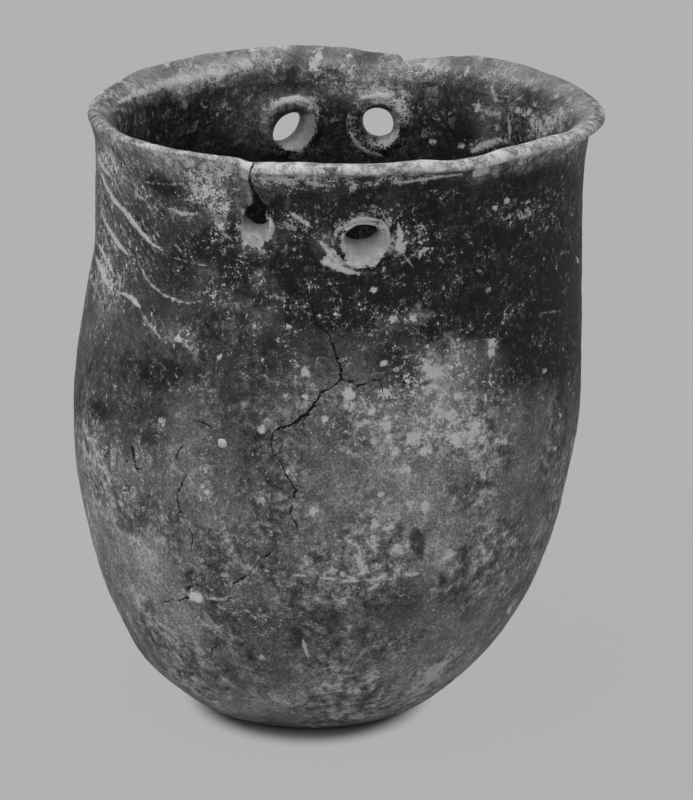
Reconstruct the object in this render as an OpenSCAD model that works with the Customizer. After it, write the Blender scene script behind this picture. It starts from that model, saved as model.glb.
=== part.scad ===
// Hand-built open beaker of dark fired clay. It is raised from a pinched base and rings of clay that
// meet on slanting joins, with a pierced band of four collared cord holes under an uneven turned-out
// lip, which an open crack splits down to one of the holes.
// Lengths are millimetres, angles are degrees. Angles run round the pot from its front (-Y) towards
// +X. The origin is the middle of the flat patch that the pot stands on.

/* [Body] */
// Height of the lip above the ground
rim_height = 153; // [145:1:175]
// Outside radius of the belly, at its widest
belly_radius = 63; // [58:0.5:72]
// Height of the widest part of the belly
belly_height = 78; // [66:1:90]
// Outside radius of the neck, at its narrowest
neck_radius = 59.6; // [55:0.2:64]
// Depth of the narrowest part of the neck below the lip
neck_drop = 22; // [16:0.5:30]
// Radius of the flat patch under the base
foot_radius = 26; // [18:0.5:34]
// Sideways drift of the whole pot towards +X, for each unit of height
drift_share = 0.052; // [0:0.002:0.1]

/* [Wall] */
// Thickness of the wall above the belly
wall = 5.5; // [4.5:0.1:7]
// Thickness of the clay in the middle of the floor
floor_thickness = 9; // [6:0.5:14]
// Radius of the flat patch inside, on the floor
well_radius = 18; // [10:0.5:22]
// Height at which the base ends and the first ring starts
base_join = 28; // [20:1:34]
// How far each join of the wall climbs from the outside to the inside
join_rise = 3; // [1:0.5:4]
// Gap left in each join
join_gap = 0.05; // [0.02:0.01:0.2]

/* [Lip] */
// Depth of the ring of clay that makes the lip
lip_depth = 7.5; // [6:0.1:8.5]
// How far the lip's join climbs from the outside to the inside
lip_join_rise = 1; // [0:0.1:2]
// Thickness of the lip
lip_thickness = 5.2; // [4:0.1:6.5]
// Height of the rounded top of the lip
lip_round = 2; // [1:0.1:2.5]
// How far the lip turns out past its own foot
lip_flare = 2.9; // [1:0.1:4]
// How much further it turns out on the right, and less on the left
lip_flare_lean = 0.7; // [0:0.1:0.9]
// How much higher the lip is at the back, and lower at the front
lip_tilt = 1.1; // [0:0.1:1.5]
// Height of the waves along the lip
lip_wave = 0.5; // [0:0.1:0.6]
// How far the neck opens out below the lip
neck_flare = 0.8; // [0:0.1:2]
// Depth of the chip in the back of the lip
chip_depth = 1.8; // [0.5:0.1:2.5]
// Length of the chip along the lip
chip_length = 17; // [8:1:24]

/* [Cord holes] */
// Radius of each hole at its narrowest
hole_radius = 3.9; // [2.5:0.1:4.5]
// Radius of the mouths of each back hole
back_mouth_radius = 6.4; // [5.5:0.1:7]
// Radius of the mouths of the front left hole
front_left_mouth_radius = 5.2; // [4.8:0.1:7]
// Radius of the mouths of the front right hole
front_right_mouth_radius = 5.7; // [4.8:0.1:7]
// Outside radius of the collar round each hole
collar_radius = 7.6; // [7.4:0.1:8]
// How far a collar stands out from both sides of the wall
collar_proud = 0.9; // [0.6:0.1:1.5]
// Length of the straight bore in the middle of each hole
bore_length = 2; // [1:0.1:3]
// Depth below the lip of the front left hole
front_left_drop = 16.5; // [16.5:0.1:20]
// Depth below the lip of the front right hole
front_right_drop = 18; // [16.5:0.1:22]
// Depth below the lip of the back left hole
back_left_drop = 18.3; // [16.5:0.1:22]
// Depth below the lip of the back right hole
back_right_drop = 17.5; // [16.5:0.1:22]
// Height of the pierced band
band_height = 28.5; // [26:0.5:34]

/* [Crack] */
// Width of the open crack where it splits the lip
crack_lip_width = 0.7; // [0.4:0.1:1.2]
// Width of the open crack where it meets the hole
crack_hole_width = 2.4; // [1:0.1:3]
// How far the crack wanders to each side
crack_wander = 1.2; // [0.4:0.1:2]

/* [Lime grits] */
// Radius of the large lime grit
large_grit_radius = 2.1; // [1.5:0.1:2.6]
// Radius of the small lime grit
small_grit_radius = 1.1; // [0.8:0.1:1.5]
// Place of the large lime grit, as a share of the height of the first ring
large_grit_share = 0.7; // [0.3:0.01:0.8]
// Place of the small lime grit, as a share of the height of the third ring
small_grit_share = 0.535; // [0.3:0.005:0.8]
// Share of a grit's radius by which it stands out of the wall
grit_proud_share = 0.4; // [0.2:0.05:0.6]

/* [Hidden] */

clay_colour = "dimgray";
lip_colour = "gray";
collar_colour = "darkgray";
lime_colour = "gainsboro";

// Gap round each piece that sits in a seat, and the overrun of cuts
seat_clearance = 0.05;
overrun = 5;

// Angles round the pot of the holes, the chip's steep end and the lime grits
front_left_angle = -19.3;
front_right_angle = 5.8;
back_left_angle = -166.4;
back_right_angle = 169.7;
chip_angle = 166;
large_grit_angle = -30.9;
small_grit_angle = -23.3;

// The rings of the wall that hold the lime grits, counted from the base
large_grit_ring = 1;
small_grit_ring = 3;

// Powers that shape the rounded base, the turn of the lip and the funnels of the holes
heel_power = 0.645;
lip_power = 3;
funnel_power = 1.6;

// Waves round the lip, and the angle at which they start
lip_waves = 6;
lip_wave_start = 300;

// Share of its radius by which each collar's outer edges are bevelled
collar_bevel_share = 0.08;

// The crack's course up from the middle of the front left hole to past the lip, as shares of the
// hole's depth below the lip, and its places to the side as shares of its wander
crack_height_shares = [0, 0.25, 0.41, 0.62, 0.74, 1.15];
crack_side_shares = [0.3, 0.4, 0.85, -0.2, -1, 0];

// Counts of steps along each curve
wall_coil_count = 4;
sectors = 4;
ring_steps = 7;
base_steps = 14;
funnel_steps = 5;
lip_steps = 6;
flank_steps = 4;
round_facets = 96;
$fn = round_facets;

// Heights of the joins
band_top = rim_height - lip_depth;
band_bottom = band_top - band_height;
wall_coil_height = (band_bottom - base_join) / wall_coil_count;
neck_height = rim_height - neck_drop;

function wall_join(i) = base_join + i * wall_coil_height;

// Height of a place in a ring of the wall, given as a share of that ring's height
function ring_place(ring, share) = wall_join(ring - 1) + share * wall_coil_height;

// A smooth step from 0 to 1 while z goes from low to high
function ease(z, low, high) = (1 - cos(180 * min(1, max(0, (z - low) / (high - low))))) / 2;

// A rounded rise from 0 at z = low to 1 at z = high
function swell(z, low, high) = pow(1 - pow(1 - min(1, max(0, (z - low) / (high - low))), 2), heel_power);

// Outside radius of the wall at a height: a rounded base, a belly, a neck and a slight opening out
function outer_radius(z) =
    z <= belly_height
        ? foot_radius + (belly_radius - foot_radius) * swell(z, 0, belly_height)
        : belly_radius + (neck_radius - belly_radius) * ease(z, belly_height, neck_height)
            + neck_flare * pow(max(0, z - neck_height) / (band_top - neck_height), 2);

// Inside radius of the wall at a height
function inner_radius(z) =
    z <= belly_height
        ? well_radius + (belly_radius - wall - well_radius) * swell(z, floor_thickness, belly_height)
        : outer_radius(z) - wall;

// Height of the lip and how far it turns out, at an angle round the pot
function lip_height(angle) =
    rim_height - lip_tilt * cos(angle) + lip_wave * sin(lip_waves * angle + lip_wave_start);
function lip_turn(angle) = lip_flare + lip_flare_lean * sin(angle);

// Section of the lip's ring at an angle, as [radius, height]: up the outer flank, over the rounded
// top and down the inner flank to the slanting join
function lip_section(angle) =
    let (
        shoulder = lip_height(angle) - lip_round,
        outer_foot = band_top + join_gap,
        inner_foot = outer_foot + lip_join_rise,
        root_out = outer_radius(band_top),
        root_in = inner_radius(band_top + lip_join_rise),
        edge_out = root_out + lip_turn(angle),
        edge_in = edge_out - lip_thickness
    )
    concat(
        [for (i = [0 : flank_steps - 1])
            let (s = i / flank_steps)
            [root_out + (edge_out - root_out) * pow(s, lip_power),
             outer_foot + (shoulder - outer_foot) * s]],
        [for (i = [0 : lip_steps])
            let (turn = 180 * i / lip_steps)
            [(edge_out + edge_in) / 2 + lip_thickness / 2 * cos(turn), shoulder + lip_round * sin(turn)]],
        [for (i = [1 : flank_steps - 1])
            let (s = 1 - i / (flank_steps - 1))
            [root_in + (edge_in - root_in) * pow(s, lip_power),
             inner_foot + (shoulder - inner_foot) * s]]
    );

// The pot's sideways drift, which keeps every ring level
module drifted() {
    multmatrix([[1, 0, drift_share, 0], [0, 1, 0, 0], [0, 0, 1, 0]]) children();
}

// A section turned round the pot in equal sectors, each of which takes the drift
module turned() {
    sweep = 360 / sectors;
    for (i = [0 : sectors - 1])
        drifted() rotate([0, 0, i * sweep]) rotate_extrude(angle = sweep) children();
}

// Stands children at a height and an angle on the wall, with +X along the wall, +Y up and +Z outwards
module on_wall(angle, z, radius) {
    translate([drift_share * z, 0, z]) rotate([90, 0, angle]) translate([0, 0, radius]) children();
}

// A ring of the wall between two joins, whose faces climb inwards by their own rises
module ring(bottom, top, top_rise) {
    low = bottom + join_gap;
    outer = [for (i = [0 : ring_steps])
        let (z = low + (top - low) * i / ring_steps)
        [outer_radius(z), z]];
    inner = [for (i = [ring_steps : -1 : 0])
        let (z = low + join_rise + (top + top_rise - low - join_rise) * i / ring_steps)
        [inner_radius(z), z]];
    turned() polygon(concat(outer, inner));
}

// The open crack, as a block of its shape through the wall
module crack() {
    last = len(crack_height_shares) - 1;
    right = [for (i = [0 : last])
        let (
            share = crack_height_shares[i],
            half = (crack_hole_width + (crack_lip_width - crack_hole_width) * min(1, share)) / 2
        )
        [crack_side_shares[i] * crack_wander + half, share * front_left_drop, half]];
    outline = concat(
        [for (p = right) [p.x, p.y]],
        [for (i = [last : -1 : 0]) [right[i].x - 2 * right[i].z, right[i].y]]
    );
    z = rim_height - front_left_drop;
    on_wall(front_left_angle, z, outer_radius(z) - wall - overrun)
        linear_extrude(wall + lip_flare + 2 * overrun) polygon(outline);
}

// The chip in the back of the lip, as a wedge with one steep end
module chip() {
    on_wall(chip_angle, lip_height(chip_angle), outer_radius(band_top) - wall - overrun)
        linear_extrude(wall + lip_flare + 2 * overrun)
            polygon([[0, -chip_depth], [0, overrun], [-chip_length, overrun], [-chip_length, 0]]);
}

// Stands children in the middle of the wall's thickness, on the axis of a hole
module at_hole(angle, drop) {
    z = rim_height - drop;
    on_wall(angle, z, outer_radius(z) - wall / 2) children();
}

// The seat of a collar, right through the wall
module collar_seat(angle, drop) {
    at_hole(angle, drop) cylinder(r = collar_radius + seat_clearance, h = wall + 2 * overrun, center = true);
}

// A collar of clay with a straight bore that opens into a funnel at both ends
module collar(angle, drop, mouth) {
    reach = wall / 2 + collar_proud;
    bevel = collar_bevel_share * collar_radius;
    half_bore = bore_length / 2;
    funnel = [for (i = [0 : funnel_steps])
        let (s = i / funnel_steps)
        [hole_radius + (mouth - hole_radius) * pow(s, funnel_power),
         half_bore + (reach - half_bore) * s]];
    outside = [[collar_radius - bevel, reach], [collar_radius, reach - bevel]];
    half = concat(funnel, outside);
    mirrored = [for (i = [len(half) - 1 : -1 : 0]) [half[i].x, -half[i].y]];
    at_hole(angle, drop) rotate_extrude() polygon(concat(half, mirrored));
}

// A grit of lime in the wall, or its pocket when it is given a clearance
module grit(angle, z, radius, clearance) {
    on_wall(angle, z, outer_radius(z) - (1 - grit_proud_share) * radius) sphere(r = radius + clearance);
}
module large_grit(clearance) {
    grit(large_grit_angle, ring_place(large_grit_ring, large_grit_share), large_grit_radius, clearance);
}
module small_grit(clearance) {
    grit(small_grit_angle, ring_place(small_grit_ring, small_grit_share), small_grit_radius, clearance);
}

// The base: a thick floor and a rounded heel, flat underneath
module base_pat() {
    top = base_join;
    outer = [for (i = [0 : base_steps]) let (z = top * pow(i / base_steps, 2)) [outer_radius(z), z]];
    inner = [for (i = [base_steps : -1 : 0])
        let (z = floor_thickness + (top + join_rise - floor_thickness) * pow(i / base_steps, 2))
        [inner_radius(z), z]];
    stub = [[0, floor_thickness], [0, -overrun], [foot_radius, -overrun]];
    color(clay_colour) difference() {
        turned() polygon(concat(stub, outer, inner));
        translate([-belly_radius, -belly_radius, -2 * overrun])
            cube([2 * belly_radius, 2 * belly_radius, 2 * overrun]);
    }
}

// One of the plain rings of the wall, counted from the base
module wall_coil(i) {
    color(clay_colour) difference() {
        ring(wall_join(i - 1), wall_join(i), join_rise);
        if (i == large_grit_ring) large_grit(seat_clearance);
        if (i == small_grit_ring) small_grit(seat_clearance);
    }
}

// The ring that carries the four collars
module pierced_coil() {
    color(clay_colour) difference() {
        ring(band_bottom, band_top, lip_join_rise);
        collar_seat(front_left_angle, front_left_drop);
        collar_seat(front_right_angle, front_right_drop);
        collar_seat(back_left_angle, back_left_drop);
        collar_seat(back_right_angle, back_right_drop);
        crack();
    }
}

// The uneven lip
module rim_coil() {
    sections = [for (i = [0 : round_facets - 1]) lip_section(360 * i / round_facets)];
    count = len(sections[0]);
    points = [for (i = [0 : round_facets - 1])
        let (angle = 360 * i / round_facets)
        for (p = sections[i])
            [p.x * sin(angle) + drift_share * p.y, -p.x * cos(angle), p.y]];
    faces = [for (i = [0 : round_facets - 1])
        let (here = i * count, next = ((i + 1) % round_facets) * count)
        for (j = [0 : count - 1])
            let (k = (j + 1) % count)
            each [[here + j, here + k, next + k], [here + j, next + k, next + j]]];
    color(lip_colour) difference() {
        polyhedron(points, faces);
        crack();
        chip();
    }
}

module front_left_collar() {
    color(collar_colour) difference() {
        collar(front_left_angle, front_left_drop, front_left_mouth_radius);
        crack();
    }
}

module front_right_collar() {
    color(collar_colour) collar(front_right_angle, front_right_drop, front_right_mouth_radius);
}

module back_left_collar() {
    color(collar_colour) collar(back_left_angle, back_left_drop, back_mouth_radius);
}

module back_right_collar() {
    color(collar_colour) collar(back_right_angle, back_right_drop, back_mouth_radius);
}

// The two lumps of lime that show in the wall
module lime_grits() {
    color(lime_colour) {
        large_grit(0);
        small_grit(0);
    }
}

base_pat();
wall_coil(1);  // wall_coil_1
wall_coil(2);  // wall_coil_2
wall_coil(3);  // wall_coil_3
wall_coil(4);  // wall_coil_4
pierced_coil();
rim_coil();
front_left_collar();
front_right_collar();
back_left_collar();
back_right_collar();
lime_grits();
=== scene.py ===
"""Looks of the pierced clay beaker, laid out as an add-on and run as a script.

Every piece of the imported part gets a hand-worked surface, its own marks and its finish. Marks on the
side towards the camera are placed by pixels of the 693 x 800 picture frame, through the camera's own
projection. Past the edge of that view the clouds of tone and lime go on as their mirror image and fade,
and the rest of the surface follows the same rules without drawn marks.
"""

import math
from collections import namedtuple

import bmesh
import bpy
import numpy as np
from bpy.props import FloatProperty, FloatVectorProperty, PointerProperty
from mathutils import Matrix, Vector, noise


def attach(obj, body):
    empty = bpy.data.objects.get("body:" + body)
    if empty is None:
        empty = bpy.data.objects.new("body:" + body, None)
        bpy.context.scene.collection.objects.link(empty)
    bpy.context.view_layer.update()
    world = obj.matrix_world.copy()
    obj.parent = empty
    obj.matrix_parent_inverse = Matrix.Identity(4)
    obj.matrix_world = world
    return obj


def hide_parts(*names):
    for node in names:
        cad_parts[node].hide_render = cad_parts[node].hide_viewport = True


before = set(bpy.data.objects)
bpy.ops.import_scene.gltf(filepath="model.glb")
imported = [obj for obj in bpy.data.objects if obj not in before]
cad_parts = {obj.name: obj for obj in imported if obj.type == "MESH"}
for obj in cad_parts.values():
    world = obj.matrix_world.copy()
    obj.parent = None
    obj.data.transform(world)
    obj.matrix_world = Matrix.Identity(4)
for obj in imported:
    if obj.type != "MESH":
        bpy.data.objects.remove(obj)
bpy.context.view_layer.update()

bl_info = {
    "name": "Pierced Clay Beaker",
    "version": (1, 0, 0),
    "blender": (4, 5, 0),
    "location": "View3D > Sidebar > Beaker",
    "description": "Dresses a hand-built clay beaker with four collared cord holes",
    "category": "Object",
}

MM = 0.001
PHOTO_WIDTH = 693
PHOTO_HEIGHT = 800
SENSOR = 36.0

# Pixels of the picture frame to a millimetre at the front of the wall, about
PIXELS_PER_MM = 4

# Plain rings in the wall, and the powers that shape the heel of the base and the funnels of the holes
WALL_COILS = 4
HEEL_POWER = 0.645
FUNNEL_POWER = 1.6

# Rows of points: up the base outside and inside, across its flat patches, and up, over and down the lip
BASE_OUTER_ROWS = 62
BASE_INNER_ROWS = 24
FLAT_ROWS = 7
LIP_OUTER_ROWS = 19
LIP_TOP_ROWS = 15
LIP_INNER_ROWS = 27
# Edges that are sharper than this stay sharp
SHARP_ANGLE = math.radians(50)
# Mirrored light of the clay, as a share of the shader's full range
CLAY_SPECULAR = 0.18
# Half the floor's side, in metres
FLOOR_REACH = 4.0

# Angle to each side of the front in which the columns of points stand close together
FINE_HALF_ANGLE = math.radians(74)

# Height and outward turn of the lip in millimetres, by degrees round the pot from the front to the right
LIP_HEIGHTS = (
    (-180, 154.0), (-169, 154.9), (-149, 154.9), (-137, 154.5), (-125, 154.2), (-112, 153.1), (-90, 152.6),
    (-69, 153.0), (-60, 152.9), (-45, 152.9), (-30, 153.1), (-24, 153.0), (-20, 152.2), (-16, 152.3),
    (-8, 152.8), (8, 152.6), (17, 152.8), (25, 152.0), (31, 152.2), (40, 153.3), (52, 153.4), (66, 152.6),
    (90, 152.3), (110, 152.5), (124, 152.9), (134, 153.7), (146, 154.0), (152, 153.2), (160, 151.9),
    (165.4, 150.9), (166.4, 152.5), (172, 152.9),
)
LIP_TURNS = (
    (-150, 2.4), (-90, 2.0), (-40, 2.2), (-24, 2.6), (-17, 3.2), (0, 3.3), (25, 3.0), (45, 3.3), (90, 3.7),
    (150, 3.0),
)
LIP_THICKNESSES = (
    (-150, 5.2), (-90, 4.6), (-60, 3.4), (-24, 3.2), (-17, 5.2), (0, 5.4), (30, 5.3), (60, 5.0), (120, 5.2),
)
# Height of the lip's rounded top in millimetres, and the share of its thickness from its edge to its crest
LIP_ROUNDS = ((-150, 1.6), (-90, 1.5), (-60, 1.0), (-24, 0.9), (-17, 1.9), (20, 2), (90, 2), (150, 1.8))
LIP_CRESTS = ((-150, 0.4), (-60, 0.35), (-22, 0.4), (-15, 0.5), (60, 0.5), (120, 0.42))
# Depth of the groove under the rolled edge of the lip, and the power with which its outer side turns out
LIP_GROOVES = (
    (-180, 0.05), (-60, 0), (-22, 0), (-15, 0.2), (10, 0.3), (24, 0.5), (45, 0.5), (75, 0.2), (120, 0.05),
)
LIP_POWERS = ((-150, 1.8), (-60, 1.4), (-22, 1.5), (-15, 2.4), (20, 2.8), (60, 2.6), (100, 2))

# A cord hole: its angle and its depth below the lip, the middle, half sizes and lean of its throat, the
# middle and half sizes of its outer and inner mouths, the squareness of the mouths, the reach of its
# collar, the share of the collar's height that is left outside and inside, the direction in degrees of the
# lit side of its inner funnel and the share in which that side is painted pale as painted light, and its
# seed
Hole = namedtuple(
    "Hole",
    "angle drop throat_middle throat_half lean outer_middle outer_half inner_middle inner_half squareness"
    " ring outer_crest inner_crest pale_side pale_share seed",
)
HOLES = {
    "front_left_collar": Hole(
        -19.3, 16.5, (-0.1, 2.1), (2.9, 2.3), 0, (0.0, -0.2), (3.3, 4.5), (0.0, 1.5), (5.0, 4.8), 2.6, 7.9,
        0.3, 0.7, 270, 1, 11
    ),
    "front_right_collar": Hole(
        5.8, 18.0, (-0.6, 0.6), (3.8, 2.2), 8, (-0.1, -2.0), (5.0, 5.1), (-0.3, 0.5), (5.6, 5.2), 2.3, 8.2,
        0.8, 0.7, 270, 1, 23
    ),
    "back_left_collar": Hole(
        -166.4, 18.3, (0.5, -0.2), (4.6, 2.8), 134, (0.3, -0.3), (5.6, 5.6), (-0.4, 0.3), (6.1, 6.0), 2.0,
        8.6, 0.5, 0.9, 212, 1, 37
    ),
    "back_right_collar": Hole(
        169.7, 17.5, (0.2, 0.0), (4.2, 3.9), 0, (0.0, -0.3), (5.6, 5.6), (-0.7, -0.3), (5.5, 5.5), 2.0, 8.6,
        0.5, 0.8, 200, 0.8, 41
    ),
}

# Radius in millimetres of the seat that is cut for a collar, and of the part of the collar that fills it
SEAT_RADIUS = 7.2
COLLAR_NECK = 7.0
# How far inside the wall the cuts for the seats and the crack start, and how much longer they are than the
# wall is thick, in millimetres
CUT_START = 5
SEAT_CUT_EXTRA = 10
CRACK_CUT_EXTRA = 14
# How dark the inner funnels are at least, as a share of the darkness of the throats, as painted shade deep
# in the pot
INNER_SHADE = 0.6

# Angles from the front, in radians, at which the wall turns out of view and its clouds have faded out
EDGE_ANGLE = math.radians(82)
FADE_ANGLE = 2.6

# The open crack from the front left hole up through the lip: sideways place, rise above the hole's
# middle and half width, in millimetres
OPEN_CRACK = (
    (0.2, 0.5, 1.2), (0.1, 2.5, 2.6), (0.6, 4.5, 2.7), (1.4, 5.6, 1.7), (0.8, 7.1, 0.85), (0.2, 8.8, 0.45),
    (-0.4, 10.6, 0.38), (-0.5, 12.0, 0.33), (0.5, 14.2, 0.3), (0.9, 16.0, 0.3), (1.0, 20.5, 0.3),
)


def table_of(kind, *values):
    """The rows of a table as named tuples."""
    return tuple(kind(*row) for row in values)


# A drawn line of lime: half width in pixels, strength and pixels along it. The tables whose names begin
# with INSIDE hold the marks of the inside, and the others those of the outside.
Stroke = namedtuple("Stroke", "half_width strength points")
LIME_STROKES = table_of(
    Stroke,
    (2.2, 0.8, ((97, 151), (102, 162), (108, 172), (114, 178))),
    (1.5, 0.5, ((112, 172), (128, 186), (144, 200), (153, 212), (166, 221))),
    (1.3, 0.45, ((126, 178), (138, 188), (150, 203), (168, 220))),
    (2.3, 0.95, ((103, 173), (108, 188), (116, 202), (125, 211), (133, 223), (142, 234), (152, 244),
        (163, 250))),
    (2.2, 0.95, ((105, 222), (112, 235), (119, 246), (127, 255))),
    (1.7, 0.8, ((95, 240), (102, 254), (108, 266), (114, 277))),
    (2.7, 0.8, ((92, 252), (99, 268), (105, 281), (111, 290))),
    (1.8, 0.6, ((97, 264), (104, 277), (108, 286))),
    (1.5, 0.6, ((121, 272), (119, 282), (119, 292))),
    (2.0, 0.5, ((89, 279), (96, 290), (101, 300))),
    (2.5, 0.9, ((120, 293), (129, 297), (135, 303), (140, 308))),
    (2.4, 0.6, ((140, 311), (148, 323), (155, 331), (161, 339))),
    (3.2, 0.55, ((165, 337), (178, 340), (190, 348))),
    (1.4, 0.6, ((136, 256), (139, 266), (146, 279), (154, 288), (165, 296), (178, 301), (190, 303),
        (203, 301))),
    (1.5, 0.5, ((222, 305), (235, 303))),
    (1.0, 0.4, ((93, 226), (99, 240), (107, 256), (118, 272))),
    (2.4, 0.7, ((169, 208), (183, 214), (197, 214))),
    (1.7, 0.5, ((177, 197), (200, 203), (221, 203), (242, 206))),
    (1.6, 0.45, ((140, 181), (160, 184), (181, 184), (205, 190), (232, 192))),
    (1.4, 0.4, ((160, 172), (190, 176), (225, 181))),
    (1.2, 0.4, ((150, 225), (160, 237), (166, 241))),
    (1.6, 0.4, ((174, 258), (190, 262), (210, 267))),
    (2.6, 0.6, ((284, 222), (290, 228), (298, 228))),
    (2.6, 0.6, ((335, 240), (336, 232), (343, 227))),
    (3.4, 0.5, ((212, 206), (216, 218), (222, 232), (232, 240))),
    (2.4, 0.75, ((290, 212), (300, 219), (312, 228))),
    (3.2, 0.85, ((270, 218), (272, 228), (267, 241))),
    (3.0, 0.9, ((320, 242), (328, 251), (332, 258), (338, 264))),
    (3.2, 1.0, ((323, 263), (332, 265), (344, 270), (359, 274))),
    (2.2, 0.8, ((332, 251), (341, 261), (353, 267), (364, 267.5))),
    (2.4, 0.9, ((382, 221), (388, 232), (388.5, 245), (385, 252))),
    (3.2, 0.95, ((398, 224), (401, 236), (397, 249), (404, 252))),
    (2.2, 0.85, ((345, 226), (353, 221), (367, 219), (382, 221))),
    (2.2, 0.5, ((254, 276), (262, 275))),
    (2.2, 0.45, ((273, 294), (281, 298))),
    (1.3, 0.9, ((404, 255), (408, 260), (413, 267))),
    (1.8, 0.8, ((419, 260), (421, 251), (430, 248))),
    (1.6, 0.7, ((424, 246), (425, 252))),
    (1.6, 0.65, ((517, 210), (520, 219), (530, 214))),
    (1.2, 0.8, ((573, 256), (576, 264))),
    (1.2, 0.5, ((534, 316), (547, 312), (560, 311))),
    (1.3, 0.7, ((256, 167), (280, 168), (304, 168.5))),
    (3.4, 0.7, ((254, 168), (262, 167), (272, 167))),
    (3.2, 0.75, ((258, 178), (276, 178), (290, 180))),
    (3.0, 0.8, ((306, 182), (316, 184), (324, 186))),
    (1.8, 0.7, ((364, 183), (374, 182))),
    (1.8, 0.8, ((392, 182.5), (405, 182), (420, 179.5), (440, 177), (462, 174))),
    (1.7, 0.8, ((296, 575.5), (307, 576.5))),
    (1.7, 0.8, ((320, 577.5), (338, 580))),
    (1.6, 0.95, ((341, 581), (351, 580.5), (360, 580.5))),
    (1.6, 0.95, ((364, 580), (373, 580), (382, 579))),
    (1.6, 0.8, ((389, 578.5), (392, 578.5))),
    (2.2, 0.8, ((403, 574), (411, 574), (419, 573))),
    (2.0, 1.0, ((303, 639), (305, 647), (308, 656))),
    (1.5, 0.7, ((206, 598), (222, 600), (229, 597), (236, 596.5))),
    (2.4, 0.4, ((236, 601), (246, 602), (256, 602))),
    (2.4, 0.45, ((244, 566), (250, 570), (260, 574))),
    (2.0, 0.5, ((78, 438), (88, 452), (97, 469))),
    (2.2, 0.45, ((108, 508), (113, 519), (118, 530))),
    (2.6, 0.55, ((128, 577), (134, 590), (139, 602), (145, 613))),
    (1.6, 0.45, ((134, 571), (141, 585), (148, 600), (152, 609))),
    (2.4, 0.55, ((155, 617), (163, 626), (176, 630))),
    (1.8, 0.5, ((186, 617), (190, 626), (194, 637), (199, 648))),
    (1.8, 0.45, ((84, 476), (92, 492), (99, 506))),
    (2.2, 0.45, ((118, 545), (126, 560), (132, 570))),
    (2.0, 0.4, ((104, 484), (112, 502), (119, 520))),
    (2.0, 0.4, ((122, 490), (127, 503), (130, 512))),
    (2.0, 0.45, ((160, 500), (164, 512), (169, 520))),
    (1.8, 0.45, ((112, 545), (117, 556), (121, 566))),
    (0.9, 0.5, ((233, 366), (244, 374), (256, 381))),
    (0.9, 0.5, ((197, 373), (204, 378), (209, 383))),
)
INSIDE_STROKES = table_of(
    Stroke,
    (6.0, 0.7, ((118, 103), (138, 92), (165, 83), (200, 77), (236, 71))),
    (4.2, 0.85, ((272, 110), (284, 101), (298, 97.5), (312, 101), (318, 113))),
    (3.0, 0.75, ((477, 105), (484, 112), (494, 114), (503, 113))),
    (1.7, 0.75, ((508, 112), (509.5, 126), (510, 140))),
    (2.6, 0.8, ((491, 86), (494, 95), (498, 101), (508, 105))),
    (4.0, 0.75, ((470, 153), (480, 147), (492, 142), (502, 140))),
    (1.5, 0.6, ((447, 116), (455, 109))),
    (3.0, 0.75, ((360, 99), (379, 95), (394, 97), (404, 107), (410, 117))),
    (2.4, 0.75, ((350, 133), (356, 144), (367, 152), (384, 157))),
    (1.5, 0.5, ((420, 134), (430, 131), (437, 134))),
    (1.6, 0.4, ((356, 87), (366, 82), (378, 84))),
)
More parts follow.
